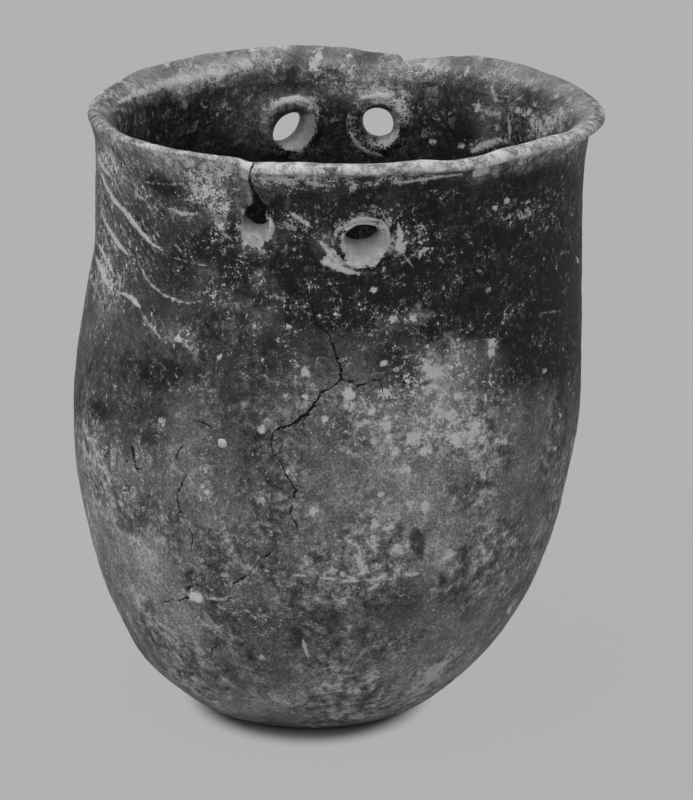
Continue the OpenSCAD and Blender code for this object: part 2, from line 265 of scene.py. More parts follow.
# A single grain or spot of lime: its pixel, its half width in pixels and its strength
Spot = namedtuple("Spot", "x y half_width strength")
LIME_SPOTS = table_of(
    Spot,
    (246, 165, 8.0, 0.95), (246, 173, 7.0, 0.9), (374, 290, 3.2, 1.0), (507, 200, 3.0, 0.9),
    (495, 209, 2.6, 0.7), (528, 202, 2.4, 0.75), (480, 171, 6.0, 0.9), (486, 170, 4.0, 0.9),
    (327, 262, 4.6, 0.95), (334, 253, 4.0, 0.7), (402, 246, 5.0, 0.8), (400, 235, 4.0, 0.6),
    (479, 271, 2.2, 0.6), (457, 275, 2.0, 0.5), (444, 288, 2.2, 0.55), (492, 344, 5.0, 0.9),
    (491, 353, 4.6, 0.9), (503, 323, 2.2, 0.5), (384, 363, 3.4, 1.0), (392, 318, 5.0, 0.65),
    (414, 316, 4.6, 0.7), (363, 346, 4.6, 0.5), (219, 357, 2.6, 0.9), (306, 372, 4.6, 0.8),
    (297, 366, 3.0, 0.6), (434, 374, 8.0, 0.85), (433, 386, 7.0, 0.65), (422, 361, 4.6, 0.5),
    (456, 347, 8.0, 0.45), (441, 395, 7.0, 0.55), (459, 396, 6.0, 0.6), (472, 382, 4.0, 0.6),
    (485, 399, 4.6, 0.6), (440, 412, 7.0, 0.7), (450, 417, 8.0, 0.75), (424, 419, 6.5, 0.6),
    (413, 438, 7.0, 1.0), (427, 451, 5.6, 0.95), (456, 440, 8.0, 0.85), (463, 440, 5.0, 0.6),
    (474, 432, 5.6, 0.7), (504, 441, 5.0, 0.65), (486, 439, 4.0, 0.5), (385, 428, 6.5, 0.75),
    (388, 438, 5.6, 0.7), (394, 451, 6.5, 0.65), (349, 394, 6.5, 0.95), (362, 405, 7.0, 0.5),
    (385, 393, 5.0, 0.95), (381, 403, 6.0, 0.5), (373, 412, 5.6, 0.5), (406, 470, 5.6, 0.75),
    (418, 475, 3.2, 0.6), (426, 507, 6.0, 0.8), (411, 503, 4.6, 0.85), (380, 495, 2.8, 1.0),
    (314, 511, 5.2, 0.9), (302, 499, 3.6, 0.55), (262, 502, 4.0, 0.55), (375, 524, 4.6, 0.95),
    (438, 543, 5.0, 0.45), (262, 430, 4.2, 0.8), (325, 419, 4.0, 0.7), (163, 421, 4.0, 0.7),
    (257, 326, 4.6, 0.5), (288, 326, 3.0, 0.7), (258, 327, 4.0, 0.5), (286, 397, 3.4, 0.55),
    (305, 397, 3.2, 0.6), (206, 470, 6.0, 0.5), (203, 495, 7.0, 0.5), (265, 375, 2.8, 0.5),
    (414, 688, 4.0, 0.8), (435, 676, 4.6, 0.8), (334, 668, 6.0, 0.5), (375, 675, 5.0, 0.5),
    (246, 366, 2.0, 0.5), (333, 247, 2.0, 0.5), (545, 371, 2.6, 0.45), (398, 587, 2.2, 0.5),
    (262, 658, 2.8, 0.7), (230, 697, 5.0, 0.5), (317, 598, 2.4, 0.6), (350, 627, 2.6, 0.6),
    (403, 649, 2.6, 0.6), (344, 655, 2.6, 0.5), (270, 631, 5.0, 0.4), (555, 448, 2.6, 0.8),
    (535, 472, 2.8, 0.5), (560, 415, 2.0, 0.7), (360, 552, 5.0, 0.4), (305, 558, 2.6, 0.5),
)
# A soft-edged cloud: middle and half sizes in pixels, lean in degrees and strength. Clouds of lime add to
# its amount or take from it, and clouds of tone make the clay paler or darker.
Cloud = namedtuple("Cloud", "x y half_width half_height lean strength")
LIME_CLOUDS = table_of(
    Cloud,
    (170, 165, 80, 24, 8, 0.5), (222, 185, 26, 26, 0, 0.45), (222, 224, 11, 18, 0, 0.75),
    (120, 215, 30, 60, -28, 0.42), (108, 262, 16, 40, -20, 0.3), (190, 206, 50, 12, 8, 0.35),
    (166, 300, 26, 14, 20, -0.3), (282, 172, 30, 12, 0, 0.35), (298, 222, 16, 12, 30, 0.3),
    (336, 258, 22, 22, 0, 0.5), (402, 246, 14, 18, 0, 0.5), (362, 274, 26, 7, 0, 0.2),
    (296, 181, 44, 9, 0, 0.7), (400, 180, 90, 7, -4, 0.35), (247, 168, 9, 12, 0, 0.7),
    (530, 155, 60, 12, -22, 0.1), (510, 208, 36, 16, 10, 0.2), (388, 316, 34, 18, 0, 0.2),
    (392, 321, 14, 10, 0, 0.35), (413, 318, 10, 12, 0, 0.35), (446, 400, 60, 62, 0, 0.34),
    (437, 376, 26, 22, 0, 0.25), (380, 420, 60, 40, 10, 0.28), (452, 440, 46, 26, 0, 0.22),
    (300, 372, 30, 18, 0, 0.2), (110, 470, 44, 60, -25, 0.22), (130, 590, 34, 60, -32, 0.24),
    (210, 610, 60, 30, 0, 0.2), (400, 520, 70, 50, 0, 0.16), (430, 680, 60, 30, -30, 0.16),
    (250, 520, 60, 60, 0, 0.1), (398, 279, 26, 16, 0, -0.55), (350, 290, 26, 22, 0, -0.15),
    (525, 300, 70, 50, 0, -0.2), (170, 184, 36, 14, 20, -0.35), (131, 215, 18, 12, 0, -0.5),
    (278, 195, 30, 10, 0, -0.25), (440, 198, 60, 16, 0, -0.35), (116, 156, 14, 24, 0, 0.5),
    (222, 232, 14, 18, 0, 0.35), (258, 248, 30, 6, 0, 0.35), (327, 240, 10, 20, 0, 0.35),
    (392, 222, 14, 26, 0, 0.35), (426, 236, 16, 16, 0, 0.4), (219, 294, 20, 12, 0, 0.5),
    (260, 278, 9, 9, 0, 0.4), (279, 300, 9, 13, 0, 0.5), (97, 272, 14, 22, -20, 0.4),
    (540, 216, 34, 16, 0, 0.25), (106, 318, 10, 18, 0, 0.35), (183, 338, 20, 11, 25, 0.55),
    (153, 327, 9, 13, -30, 0.45), (112, 289, 15, 16, 30, 0.5), (205, 186, 34, 16, 10, 0.4),
    (537, 157, 54, 8, -17, 0.4), (240, 174, 18, 10, 0, 0.4), (264, 176, 14, 8, 0, 0.4),
    (425, 177, 60, 5, -5, 0.4), (317, 178, 14, 9, 0, 0.5),
)
TONE_CLOUDS = table_of(
    Cloud,
    (440, 250, 150, 70, 4, -0.7), (162, 184, 26, 12, 25, -0.8), (234, 222, 8, 26, 0, -0.5),
    (350, 300, 60, 44, 0, -0.35), (545, 330, 50, 90, 0, -0.6), (230, 265, 80, 34, 8, -0.2),
    (130, 400, 80, 44, 10, -0.25), (265, 370, 50, 60, 0, -0.2), (440, 400, 70, 70, 0, 0.75),
    (370, 430, 60, 40, 0, 0.4), (215, 480, 70, 60, 0, 0.25), (390, 515, 80, 56, 0, 0.5),
    (370, 625, 120, 28, 0, -0.35), (510, 460, 40, 70, 0, 0.2), (105, 490, 30, 70, -14, 0.4),
    (170, 170, 80, 30, 6, 0.4), (110, 250, 22, 80, -12, 0.2), (252, 664, 34, 18, 0, -0.3),
    (310, 690, 110, 24, 0, 0.15), (236, 578, 46, 24, 0, -0.4), (398, 584, 48, 20, 0, -0.35),
    (80, 432, 16, 20, 0, 0.3), (254, 474, 17, 34, 0, -0.4), (260, 535, 12, 26, 0, -0.3),
    (286, 536, 10, 20, 0, -0.3), (250, 455, 24, 10, 0, -0.25), (148, 514, 34, 18, 30, -0.5),
    (102, 480, 18, 11, 20, -0.3), (142, 634, 14, 12, 0, -0.3), (352, 440, 16, 26, 0, -0.5),
    (303, 394, 10, 12, 0, -0.3), (326, 492, 12, 14, 0, -0.3), (355, 520, 20, 18, 0, -0.35),
    (400, 370, 26, 30, 0, -0.7), (450, 332, 38, 12, 0, -0.45), (488, 394, 22, 22, 0, -0.3),
    (515, 375, 26, 14, -20, -0.3), (515, 530, 22, 60, 0, -0.2), (320, 608, 30, 14, 0, -0.2),
    (405, 606, 30, 14, 0, -0.3), (468, 592, 12, 22, 0, -0.35), (437, 468, 14, 8, 0, -0.2),
    (552, 464, 14, 16, 0, -0.35), (475, 412, 12, 16, 0, -0.3), (315, 386, 32, 22, 0, 0.35),
    (335, 338, 44, 14, 0, 0.15), (325, 398, 34, 12, 0, 0.25), (386, 425, 13, 22, 0, 0.5),
    (437, 380, 12, 16, 0, 0.8), (440, 420, 18, 16, 0, 0.55), (185, 438, 16, 26, 0, 0.65),
    (199, 482, 12, 20, 0, 0.5), (150, 578, 28, 34, 0, 0.6), (178, 622, 24, 14, 0, 0.5),
    (160, 600, 26, 14, 0, 0.4), (455, 662, 22, 14, 0, 0.35), (150, 548, 22, 14, 0, 0.6),
    (178, 679, 22, 13, 30, 0.8), (252, 702, 40, 14, 0, 0.75), (163, 334, 20, 10, 0, 0.3),
    (418, 684, 36, 20, -35, 0.9), (361, 638, 18, 16, 0, 0.8), (374, 674, 18, 16, 0, 0.4),
    (108, 305, 10, 22, 0, 0.35), (334, 665, 16, 10, 0, 0.55), (431, 505, 14, 18, 0, 0.5),
    (440, 545, 17, 13, 0, 0.8), (378, 540, 26, 14, -20, 0.5), (410, 384, 12, 14, 0, -0.5),
    (217, 536, 10, 14, 0, -0.4), (484, 458, 18, 14, 0, 0.45), (300, 414, 20, 14, 0, 0.4),
    (296, 465, 10, 30, -15, 0.25), (208, 638, 10, 10, 0, 0.3), (235, 522, 10, 12, 0, 0.3),
    (322, 530, 14, 10, 0, 0.25), (92, 414, 22, 14, 0, -0.45), (150, 440, 26, 10, -10, -0.3),
    (165, 372, 26, 13, 0, -0.35), (222, 300, 28, 8, 0, 0.3), (261, 320, 10, 12, 0, 0.35),
    (388, 320, 14, 12, 0, 0.45), (276, 300, 10, 28, 0, 0.35), (256, 240, 30, 18, 0, 0.5),
    (209, 245, 12, 14, 0, -0.5), (326, 248, 16, 18, 0, 0.7), (388, 252, 18, 7, 0, 0.8),
    (206, 272, 12, 22, 0, 0.35), (228, 216, 16, 14, 0, 0.4), (262, 280, 12, 12, 0, 0.35),
    (290, 206, 26, 16, 0, -0.3), (392, 212, 14, 22, 0, 0.35), (284, 500, 14, 14, 0, -0.45),
    (252, 618, 28, 16, 0, -0.45), (276, 580, 14, 10, 0, -0.3), (212, 412, 18, 12, 0, 0.3),
    (270, 402, 26, 12, 0, 0.25), (416, 314, 12, 10, 0, 0.45), (450, 338, 10, 9, 0, 0.35),
    (440, 628, 50, 16, 0, 0.35), (495, 430, 26, 11, 0, 0.35), (546, 400, 12, 22, 0, 0.35),
    (375, 485, 14, 10, 0, 0.3), (402, 281, 26, 18, 0, -0.3), (537, 157, 54, 8, -17, 0.45),
    (545, 182, 32, 14, -8, -0.5), (128, 467, 24, 10, 10, 0.5), (106, 512, 14, 16, 30, 0.5),
)
INSIDE_LIME_CLOUDS = table_of(
    Cloud,
    (296, 106, 26, 10, 10, 0.75), (385, 98, 26, 12, 0, 0.55), (403, 108, 10, 12, 0, 0.6),
    (368, 147, 24, 12, 30, 0.15), (515, 112, 46, 26, 0, 0.4), (535, 130, 26, 16, 0, 0.3),
    (195, 79, 70, 11, -16, 0.45), (450, 78, 60, 16, 4, 0.4), (340, 66, 100, 12, 0, 0.4),
    (160, 105, 40, 16, -20, 0.2), (240, 120, 40, 20, 0, 0.12), (440, 130, 30, 20, 0, 0.15),
    (262, 70, 34, 9, 0, -0.55), (158, 100, 14, 14, 0, -0.5), (372, 58, 30, 8, 0, -0.6),
    (302, 66, 16, 10, 0, -0.4), (470, 75, 28, 24, 0, -0.5), (106, 96, 14, 10, 0, -0.8),
    (178, 66, 16, 8, -16, -0.5), (548, 102, 20, 12, 0, -0.5), (524, 122, 10, 12, 0, -0.5),
    (590, 137, 12, 10, 0, -0.9), (472, 122, 12, 14, 0, -0.4), (458, 125, 14, 18, 0, -0.25),
    # Painted shade: the clouds at (440, 158) and (240, 160) take lime away from the inside wall just over
    # the front lip, where shade falls deep in the pot
    (440, 158, 60, 9, 0, -0.3), (240, 160, 60, 9, 0, -0.3), (350, 84, 26, 12, 20, 0.5),
    (378, 96, 22, 12, 30, 0.45), (282, 100, 22, 8, -15, 0.35), (264, 130, 8, 24, 0, 0.35),
    (550, 120, 20, 14, -20, 0.5), (482, 146, 14, 7, 0, 0.5), (114, 118, 14, 14, 0, 0.6),
    (216, 77, 22, 9, -8, 0.5), (350, 92, 30, 14, 10, 0.25),
)
INSIDE_TONE_CLOUDS = table_of(
    Cloud,
    (293, 59, 10, 8, 0, -0.6), (337, 75, 9, 8, 0, -0.6), (372, 58, 24, 6, 0, -0.3),
    (362, 84, 36, 18, 0, 0.9), (405, 72, 30, 12, 0, 0.4), (268, 138, 8, 20, 0, 0.4),
    (285, 104, 24, 12, -10, 0.6), (200, 80, 70, 16, -12, 0.4), (330, 135, 16, 26, 0, -0.5),
    # Painted shade: the clouds at (440, 158) and (296, 158) darken the inside wall just over the front lip,
    # where shade falls deep in the pot
    (440, 158, 60, 9, 0, -0.5), (296, 158, 24, 12, 0, -0.6), (160, 130, 40, 20, -20, -0.4),
    (503, 74, 16, 16, 0, 0.5), (490, 122, 14, 30, 0, 0.45), (250, 125, 30, 30, 0, 0.2),
    (570, 113, 26, 18, -25, 0.95),
)
INSIDE_SPOTS = table_of(
    Spot,
    (478, 106, 4.6, 0.8), (519, 110, 4.0, 0.8), (528, 113, 4.6, 0.8), (541, 124, 6.0, 0.7),
    (553, 120, 7.0, 0.65), (544, 131, 5.0, 0.65), (462, 145, 3.2, 0.65), (432, 142, 2.4, 0.55),
    (560, 112, 5.0, 0.6), (497, 128, 4.0, 0.5), (317, 56, 8.0, 0.75), (313, 66, 5.0, 0.8),
    (345, 61, 8.0, 0.6), (277, 60, 6.0, 0.6), (245, 65, 6.0, 0.65), (263, 63, 4.0, 0.5),
    (382, 62, 5.0, 0.45), (366, 92, 12.0, 0.5), (380, 87, 10.0, 0.5), (350, 72, 2.2, 0.8),
)
# A closed crack: depth in millimetres, and pixels along it with the crack's half width in pixels there.
# Branches have a table of their own, because each table's cracks are drawn from the nearest one alone.
Crack = namedtuple("Crack", "depth points")
MAIN_CRACKS = table_of(
    Crack,
    (0.25, ((294, 291.5, 0.3), (301, 295, 0.4), (308, 302, 0.5), (312.7, 307, 0.5), (313.6, 315, 0.5),
        (317, 323, 0.6), (320.7, 327.5, 0.7), (328, 334.5, 0.8), (332.3, 342, 0.9), (335, 351.5, 0.9),
        (337.7, 360.5, 1.0), (340.5, 373, 0.9), (341.3, 379, 0.7), (338.6, 382, 0.8), (333, 387, 0.9),
        (324.3, 390.7, 0.9), (319.8, 396, 1.2), (313.6, 405, 1.5), (308, 413, 1.5), (301, 416.6, 1.3),
        (294, 423, 1.1), (285, 426.5, 1.0), (277, 429, 1.1), (272.5, 434.5, 0.9), (272.5, 440.7, 0.7),
        (270.7, 446, 0.4), (273.4, 454, 0.5), (278.8, 460.4, 0.5), (282.3, 466.6, 0.6), (285, 474.6, 0.6),
        (291.3, 482.7, 0.5), (295.7, 489.8, 0.9), (294, 493.4, 0.9), (292, 499.6, 0.4), (291.3, 507, 0.4),
        (290.4, 514, 0.3), (295.7, 523, 0.5), (297.5, 530, 0.3))),
    (0.2, ((183, 446, 0.4), (178, 452, 0.6), (177, 457, 0.5), (181, 466, 0.1), (186, 475.5, 0.5),
        (182.3, 482, 0.8), (181.4, 488, 0.5), (178, 493.4, 0.6), (178, 501.4, 0.7), (178.8, 507.7, 0.7),
        (183, 517.5, 0.3), (187.7, 528, 0.4), (193, 535.4, 0.6), (191.8, 542.5, 0.6),
        (190.4, 549.6, 0.4))),
    (0.2, ((271, 553, 0.4), (265, 557, 0.7), (259, 561, 0.3), (250, 572, 0.3), (245, 577, 0.6),
        (233, 584, 0.6), (232, 588, 0.3))),
    (0.2, ((188, 597, 0.7), (182, 600, 0.6), (176, 600.5, 0.2), (165, 601, 0.5), (163, 604, 0.4))),
    (0.3, ((132, 447, 0.9), (133.5, 455, 1.0), (135, 462, 0.5), (136, 469.5, 0.7), (139, 469, 0.7),
        (143, 468, 0.4))),
    (0.15, ((236, 596.5, 0.3), (229, 597.5, 0.5), (224, 600, 0.4))),
    (0.15, ((217, 642, 0.3), (212, 652, 0.5), (211.5, 657, 0.3))),
)
BRANCH_CRACKS = table_of(
    Crack,
    (0.2, ((342, 379.5, 0.4), (350, 382, 0.7), (358, 386, 0.8), (363, 385, 0.6), (371, 380.5, 0.4),
        (379, 379.5, 0.5), (381, 386, 0.6), (386, 402, 0.3))),
    (0.15, ((304, 414.5, 0.3), (303.5, 424, 0.5), (302, 431, 0.3))),
    (0.15, ((190, 420, 0.3), (199, 422, 0.6), (210, 427.3, 0.7))),
)
# Where the neck was wiped with slanting strokes
BRUSHED = Cloud(118, 222, 62, 90, -20, 1)
# A hollow knocked out of the surface: middle and half sizes in pixels, lean in degrees and, for strength,
# its depth in millimetres
HOLLOWS = table_of(
    Cloud,
    (417.5, 542, 8.5, 14, -8, 0.3), (420, 553, 4.2, 9, -8, 0.3), (188.5, 589, 3.4, 3.0, -30, 0.9),
    (558, 398, 2.4, 2.4, 0, 0.5), (374, 562.3, 3.0, 2.6, 0, 0.4), (261.6, 568, 1.9, 1.9, 0, 0.4),
    (227, 689, 2.4, 2.0, 0, 0.4), (127, 461, 1.4, 1.4, 0, 0.3),
)

# A broad swell or flat of the outside: degrees round the pot, height in millimetres, their half sizes, and
# how far it stands out in millimetres
Swell = namedtuple("Swell", "degrees height half_degrees half_height out")
SWELLS = table_of(
    Swell,
    (90, 119, 34, 12, 0.85), (-90, 119.5, 26, 8, -0.7), (-90, 85, 36, 13, 0.5), (88, 63, 36, 11, -0.6),
    (-84, 48, 28, 9, -0.5), (-75, 14, 26, 6.5, 0.75), (82, 33, 20, 6, 0.4), (57, 8, 26, 7.5, -0.9),
)

# A lump of lime in the wall: its pixel, its half sizes in millimetres, its squareness and its seed
Lump = namedtuple("Lump", "x y half_sizes squareness seed")
LIME_LUMPS = table_of(
    Lump,
    (196, 595.5, (2.1, 2.0, 1.0), 3.4, 5),
    (222, 443.5, (1.2, 1.1, 0.6), 2.4, 9),
)


def length(name, description, millimetres):
    """A length property whose default is given in millimetres."""
    return FloatProperty(
        name=name, description=description, default=millimetres * MM, unit="LENGTH", precision=5
    )


def shade(name, description, value):
    """A neutral colour property."""
    return FloatVectorProperty(
        name=name, description=description, default=value, size=3, subtype="COLOR", min=0, max=1
    )


class BeakerShape(bpy.types.PropertyGroup):
    """Sizes of the pot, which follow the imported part."""

    rim_height: length("Lip height", "Height of the lip above the ground", 153)
    belly_radius: length("Belly radius", "Outside radius of the belly at its widest", 63)
    belly_height: length("Belly height", "Height of the widest part of the belly", 78)
    neck_radius: length("Neck radius", "Outside radius of the neck at its narrowest", 59.6)
    neck_drop: length("Neck drop", "Depth of the narrowest part of the neck below the lip", 22)
    neck_flare: length("Neck flare", "How far the neck opens out below the lip", 0.8)
    foot_radius: length("Foot radius", "Radius of the flat patch under the base", 26)
    wall: length("Wall", "Thickness of the wall above the belly", 5.5)
    floor_thickness: length("Floor", "Thickness of the clay in the middle of the floor", 9)
    well_radius: length("Well radius", "Radius of the flat patch on the floor inside", 18)
    base_join: length("Base join", "Height at which the base ends", 28)
    join_rise: length("Join rise", "How far a join climbs from outside to inside", 3)
    band_height: length("Band height", "Height of the pierced band", 28.5)
    lip_depth: length("Lip depth", "Depth of the ring that makes the lip", 7.5)
    lip_join_rise: length("Lip join rise", "How far the lip's join climbs inwards", 1)
    bore_length: length("Bore length", "Length of the straight bore of each hole", 2)
    collar_proud: length("Collar proud", "How far a collar stands out of the wall", 0.9)
    drift_share: FloatProperty(
        name="Drift", description="Sideways drift of the pot for each unit of height", default=0.052,
        min=0, max=0.1
    )


class BeakerSurface(bpy.types.PropertyGroup):
    """How finely the surface is built and how deeply it is worked."""

    fine_column: length("Fine column", "Spacing of the points round the front of the pot", 0.36)
    coarse_column: length("Coarse column", "Spacing of the points round its back", 0.85)
    outer_row: length("Outer row", "Spacing of the points up the outside", 0.42)
    inner_row: length("Inner row", "Spacing of the points up the inside", 1.1)
    dent_depth: length("Dent depth", "Depth of the dents left by the hands", 0.55)
    dent_size: length("Dent size", "Size of those dents", 26)
    scrape_depth: length("Scrape depth", "Depth of the marks of scraping and rubbing", 0.2)
    scrape_size: length("Scrape size", "Size of those marks", 6)
    pit_depth: length("Pit depth", "Depth of the pits in the surface", 0.3)
    pit_size: length("Pit size", "Spacing of the pits", 3.2)
    crust_height: length("Crust height", "Thickness of the lime crust", 0.16)


class BeakerFinish(bpy.types.PropertyGroup):
    """Colours of the clay and the lime."""

    dark_clay: shade("Dark clay", "Darkest, burnished clay", (0.004, 0.004, 0.0041))
    pale_clay: shade("Pale clay", "Palest worn clay", (0.5, 0.5, 0.495))
    lime: shade("Lime", "Lime crust and grains", (0.52, 0.52, 0.515))
    dull_lime: shade("Dull lime", "Worn and dirty lime", (0.28, 0.28, 0.278))
    # Painted shade: each funnel darkens towards this colour near its throat, where shade falls in the hole
    throat: shade("Throat", "Stained clay towards the throat of a hole", (0.1, 0.1, 0.1))
    hole_clay: shade("Hole clay", "Clay of the funnels of the holes", (0.49, 0.49, 0.485))
    crack_shade: shade("Crack shade", "Dirt in the cracks", (0.003, 0.003, 0.003))
    floor: shade("Floor", "Plain pale floor", (0.44, 0.44, 0.445))


class BeakerStage(bpy.types.PropertyGroup):
    """Camera and light."""

    elevation: FloatProperty(
        name="Elevation", description="Camera's angle above the floor", default=math.radians(17),
        subtype="ANGLE"
    )
    distance: length("Distance", "Camera's distance from its target", 1000)
    target: FloatVectorProperty(
        name="Target", description="Point that the camera looks at", default=(8.82 * MM, 0, 77.27 * MM),
        size=3, subtype="XYZ", unit="LENGTH"
    )
    lens: FloatProperty(name="Lens", description="Focal length in millimetres", default=180, min=1)
    sky: FloatProperty(name="Sky", description="Strength of the even light overhead", default=1.1, min=0)
    horizon: FloatProperty(
        name="Horizon", description="Share of the even light that is left at the horizon", default=0.12,
        min=0, max=1
    )
    sun: FloatProperty(name="Sun", description="Strength of the soft lamp", default=1.4, min=0)
    sun_size: FloatProperty(
        name="Lamp size", description="Angle that the soft lamp fills", default=math.radians(50),
        subtype="ANGLE"
    )
    sun_travel: FloatVectorProperty(
        name="Lamp direction", description="Direction in which the lamp's light travels",
        default=(0.3, 0.32, -0.9), size=3, subtype="DIRECTION"
    )


def smooth(value, low, high):
    """A smooth step from 0 at low to 1 at high."""
    share = np.clip((value - low) / (high - low), 0, 1)
    return share * share * (3 - 2 * share)


def bell(value, middle, spread):
    """A soft bump of 1 at its middle."""
    return np.exp(-((value - middle) / spread) ** 2)


def swell(z, low, high):
    """A rounded rise from 0 at z = low to 1 at z = high."""
    share = np.clip((z - low) / (high - low), 0, 1)
    return (1 - (1 - share) ** 2) ** HEEL_POWER


def band_top(shape):
    """Height at which the pierced ring ends and the lip begins."""
    return shape.rim_height - shape.lip_depth


def outer_radius(shape, z):
    """Outside radius of the wall at a height."""
    neck_height = shape.rim_height - shape.neck_drop
    climbed = np.clip((z - shape.belly_height) / (neck_height - shape.belly_height), 0, 1)
    ease = (1 - np.cos(np.pi * climbed)) / 2
    opening = np.clip((z - neck_height) / (band_top(shape) - neck_height), 0, 1) ** 2
    upper = shape.belly_radius + (shape.neck_radius - shape.belly_radius) * ease
    upper = upper + shape.neck_flare * opening
    lower = shape.foot_radius + (shape.belly_radius - shape.foot_radius) * swell(z, 0, shape.belly_height)
    return np.where(z <= shape.belly_height, lower, upper)


def inner_radius(shape, z):
    """Inside radius of the wall at a height."""
    widest = shape.belly_radius - shape.wall
    swelled = swell(z, shape.floor_thickness, shape.belly_height)
    lower = shape.well_radius + (widest - shape.well_radius) * swelled
    return np.where(z <= shape.belly_height, lower, outer_radius(shape, z) - shape.wall)


def round_values(table, degrees):
    """Values of a table of (degrees, value) at the given angles, smooth and joined round the pot."""
    angles = np.array([row[0] for row in table], float)
    values = np.array([row[1] for row in table], float)
    turn = 360.0
    angles = np.concatenate([angles - turn, angles, angles + turn])
    values = np.tile(values, 3)
    index = np.clip(np.searchsorted(angles, degrees) - 1, 0, len(angles) - 2)
    share = smooth(degrees, angles[index], angles[index + 1])
    return values[index] + (values[index + 1] - values[index]) * share


def lip_edges(shape, angle):
    """Shoulder height, outer edge, crest, thickness and rounding of the lip at angles round the pot."""
    degrees = np.degrees(angle)
    rounding = round_values(LIP_ROUNDS, degrees) * MM
    shoulder = round_values(LIP_HEIGHTS, degrees) * MM - rounding
    outer = outer_radius(shape, np.float64(band_top(shape))) + round_values(LIP_TURNS, degrees) * MM
    thickness = round_values(LIP_THICKNESSES, degrees) * MM
    crest = outer - round_values(LIP_CRESTS, degrees) * thickness
    return shoulder, outer, crest, thickness, rounding


def pot_points(shape, radius, angle, z):
    """Points at radii, angles from the front and heights, with the pot's drift."""
    radius, angle, z = np.broadcast_arrays(radius, angle, z)
    return np.stack([shape.drift_share * z + radius * np.sin(angle), -radius * np.cos(angle), z], axis=-1)


def pot_places(shape, points):
    """Radius, angle from the front and height of points on the pot."""
    x = points[:, 0] - shape.drift_share * points[:, 2]
    return np.hypot(x, points[:, 1]), np.arctan2(x, -points[:, 1]), points[:, 2]


def column_angles():
    """Angles of the columns of points, close together at the front and wider apart at the back."""
    shape = bpy.context.scene.beaker_shape
    surface = bpy.context.scene.beaker_surface
    fine = round(2 * FINE_HALF_ANGLE * shape.belly_radius / surface.fine_column)
    back = 2 * (math.pi - FINE_HALF_ANGLE)
    coarse = round(back * shape.belly_radius / surface.coarse_column)
    front_angles = np.linspace(-FINE_HALF_ANGLE, FINE_HALF_ANGLE, fine, endpoint=False)
    back_angles = FINE_HALF_ANGLE + np.linspace(0, back, coarse, endpoint=False)
    return np.concatenate([front_angles, back_angles])


def row_heights(low, high, spacing):
    """Heights from low to high, both included, at about the spacing."""
    return np.linspace(low, high, max(2, round(abs(high - low) / spacing)) + 1)


def grid_quads(rows, columns, row_loop):
    """Faces of a grid whose columns run round and whose rows may join up."""
    row = np.arange(rows if row_loop else rows - 1)[:, None]
    column = np.arange(columns)[None, :]
    next_row = (row + 1) % rows
    next_column = (column + 1) % columns
    corners = [row * columns + column, row * columns + next_column, next_row * columns + next_column,
               next_row * columns + column]
    return np.stack([np.broadcast_to(c, (len(row), columns)) for c in corners], axis=-1).reshape(-1, 4)


def mesh_from(name, points, quads, triangles=None):
    """A mesh from arrays of points, four-cornered faces and three-cornered faces."""
    mesh = bpy.data.meshes.new(name)
    corners = quads.ravel()
    sizes = np.full(len(quads), 4)
    if triangles is not None:
        corners = np.concatenate([corners, triangles.ravel()])
        sizes = np.concatenate([sizes, np.full(len(triangles), 3)])
    starts = np.concatenate([[0], np.cumsum(sizes)[:-1]])
    mesh.vertices.add(len(points))
    mesh.vertices.foreach_set("co", points.astype(np.float32).ravel())
    mesh.loops.add(len(corners))
    mesh.loops.foreach_set("vertex_index", corners.astype(np.int32))
    mesh.polygons.add(len(sizes))
    mesh.polygons.foreach_set("loop_start", starts.astype(np.int32))
    mesh.update(calc_edges=True)
    if mesh.validate():
        raise RuntimeError(f"the mesh of {name} has faulty faces")
    return mesh


def mesh_points(mesh):
    """The points of a mesh, as an array."""
    flat = np.empty(len(mesh.vertices) * 3, np.float32)
    mesh.vertices.foreach_get("co", flat)
    return flat.reshape(-1, 3).astype(float)


def new_object(name, mesh):
    """An object of a mesh, in the scene."""
    piece = bpy.data.objects.new(name, mesh)
    bpy.context.scene.collection.objects.link(piece)
    return piece


def camera_axes(stage):
    """The camera's place and its forward and up directions."""
    sine, cosine = math.sin(stage.elevation), math.cos(stage.elevation)
    forward = np.array([0, cosine, -sine])
    up = np.array([0, sine, cosine])
    return np.array(stage.target) - forward * stage.distance, forward, up


def photo_pixels(points):
    """Pixels of the picture frame at which the camera sees points."""
    stage = bpy.context.scene.beaker_stage
    place, forward, up = camera_axes(stage)
    scale = stage.lens / SENSOR * PHOTO_HEIGHT
    offset = points - place
    depth = offset @ forward
    return PHOTO_WIDTH / 2 + scale * offset[:, 0] / depth, PHOTO_HEIGHT / 2 - scale * (offset @ up) / depth


def wall_point(x, y):
    """The point of the smooth outer wall that the camera sees at a pixel, and its angle."""
    shape = bpy.context.scene.beaker_shape
    stage = bpy.context.scene.beaker_stage
    place, forward, up = camera_axes(stage)
    scale = stage.lens / SENSOR * PHOTO_HEIGHT
    right = np.array([1, 0, 0])
    ray = forward + right * (x - PHOTO_WIDTH / 2) / scale + up * (PHOTO_HEIGHT / 2 - y) / scale
    near, far = stage.distance - 2 * shape.belly_radius, stage.distance
    steps = 4000
    for share in np.linspace(0, 1, steps):
        point = place + ray * (near + (far - near) * share)
        radius, angle, height = pot_places(shape, point[None, :])
        if radius[0] <= outer_radius(shape, height)[0]:
            return point, angle[0]
    raise RuntimeError(f"no wall is seen at pixel {x}, {y}")


def cloud_share(px, py, cloud):
    """How strongly a cloud covers pixels, from 0 to 1, with a flatter top than a bell's."""
    lean = math.radians(cloud.lean)
    dx, dy = px - cloud.x, py - cloud.y
    along = (dx * math.cos(lean) + dy * math.sin(lean)) / cloud.half_width
    across = (dy * math.cos(lean) - dx * math.sin(lean)) / cloud.half_height
    fall = 0.9
    power = 1.3
    return np.exp(-fall * (along ** 2 + across ** 2) ** power)


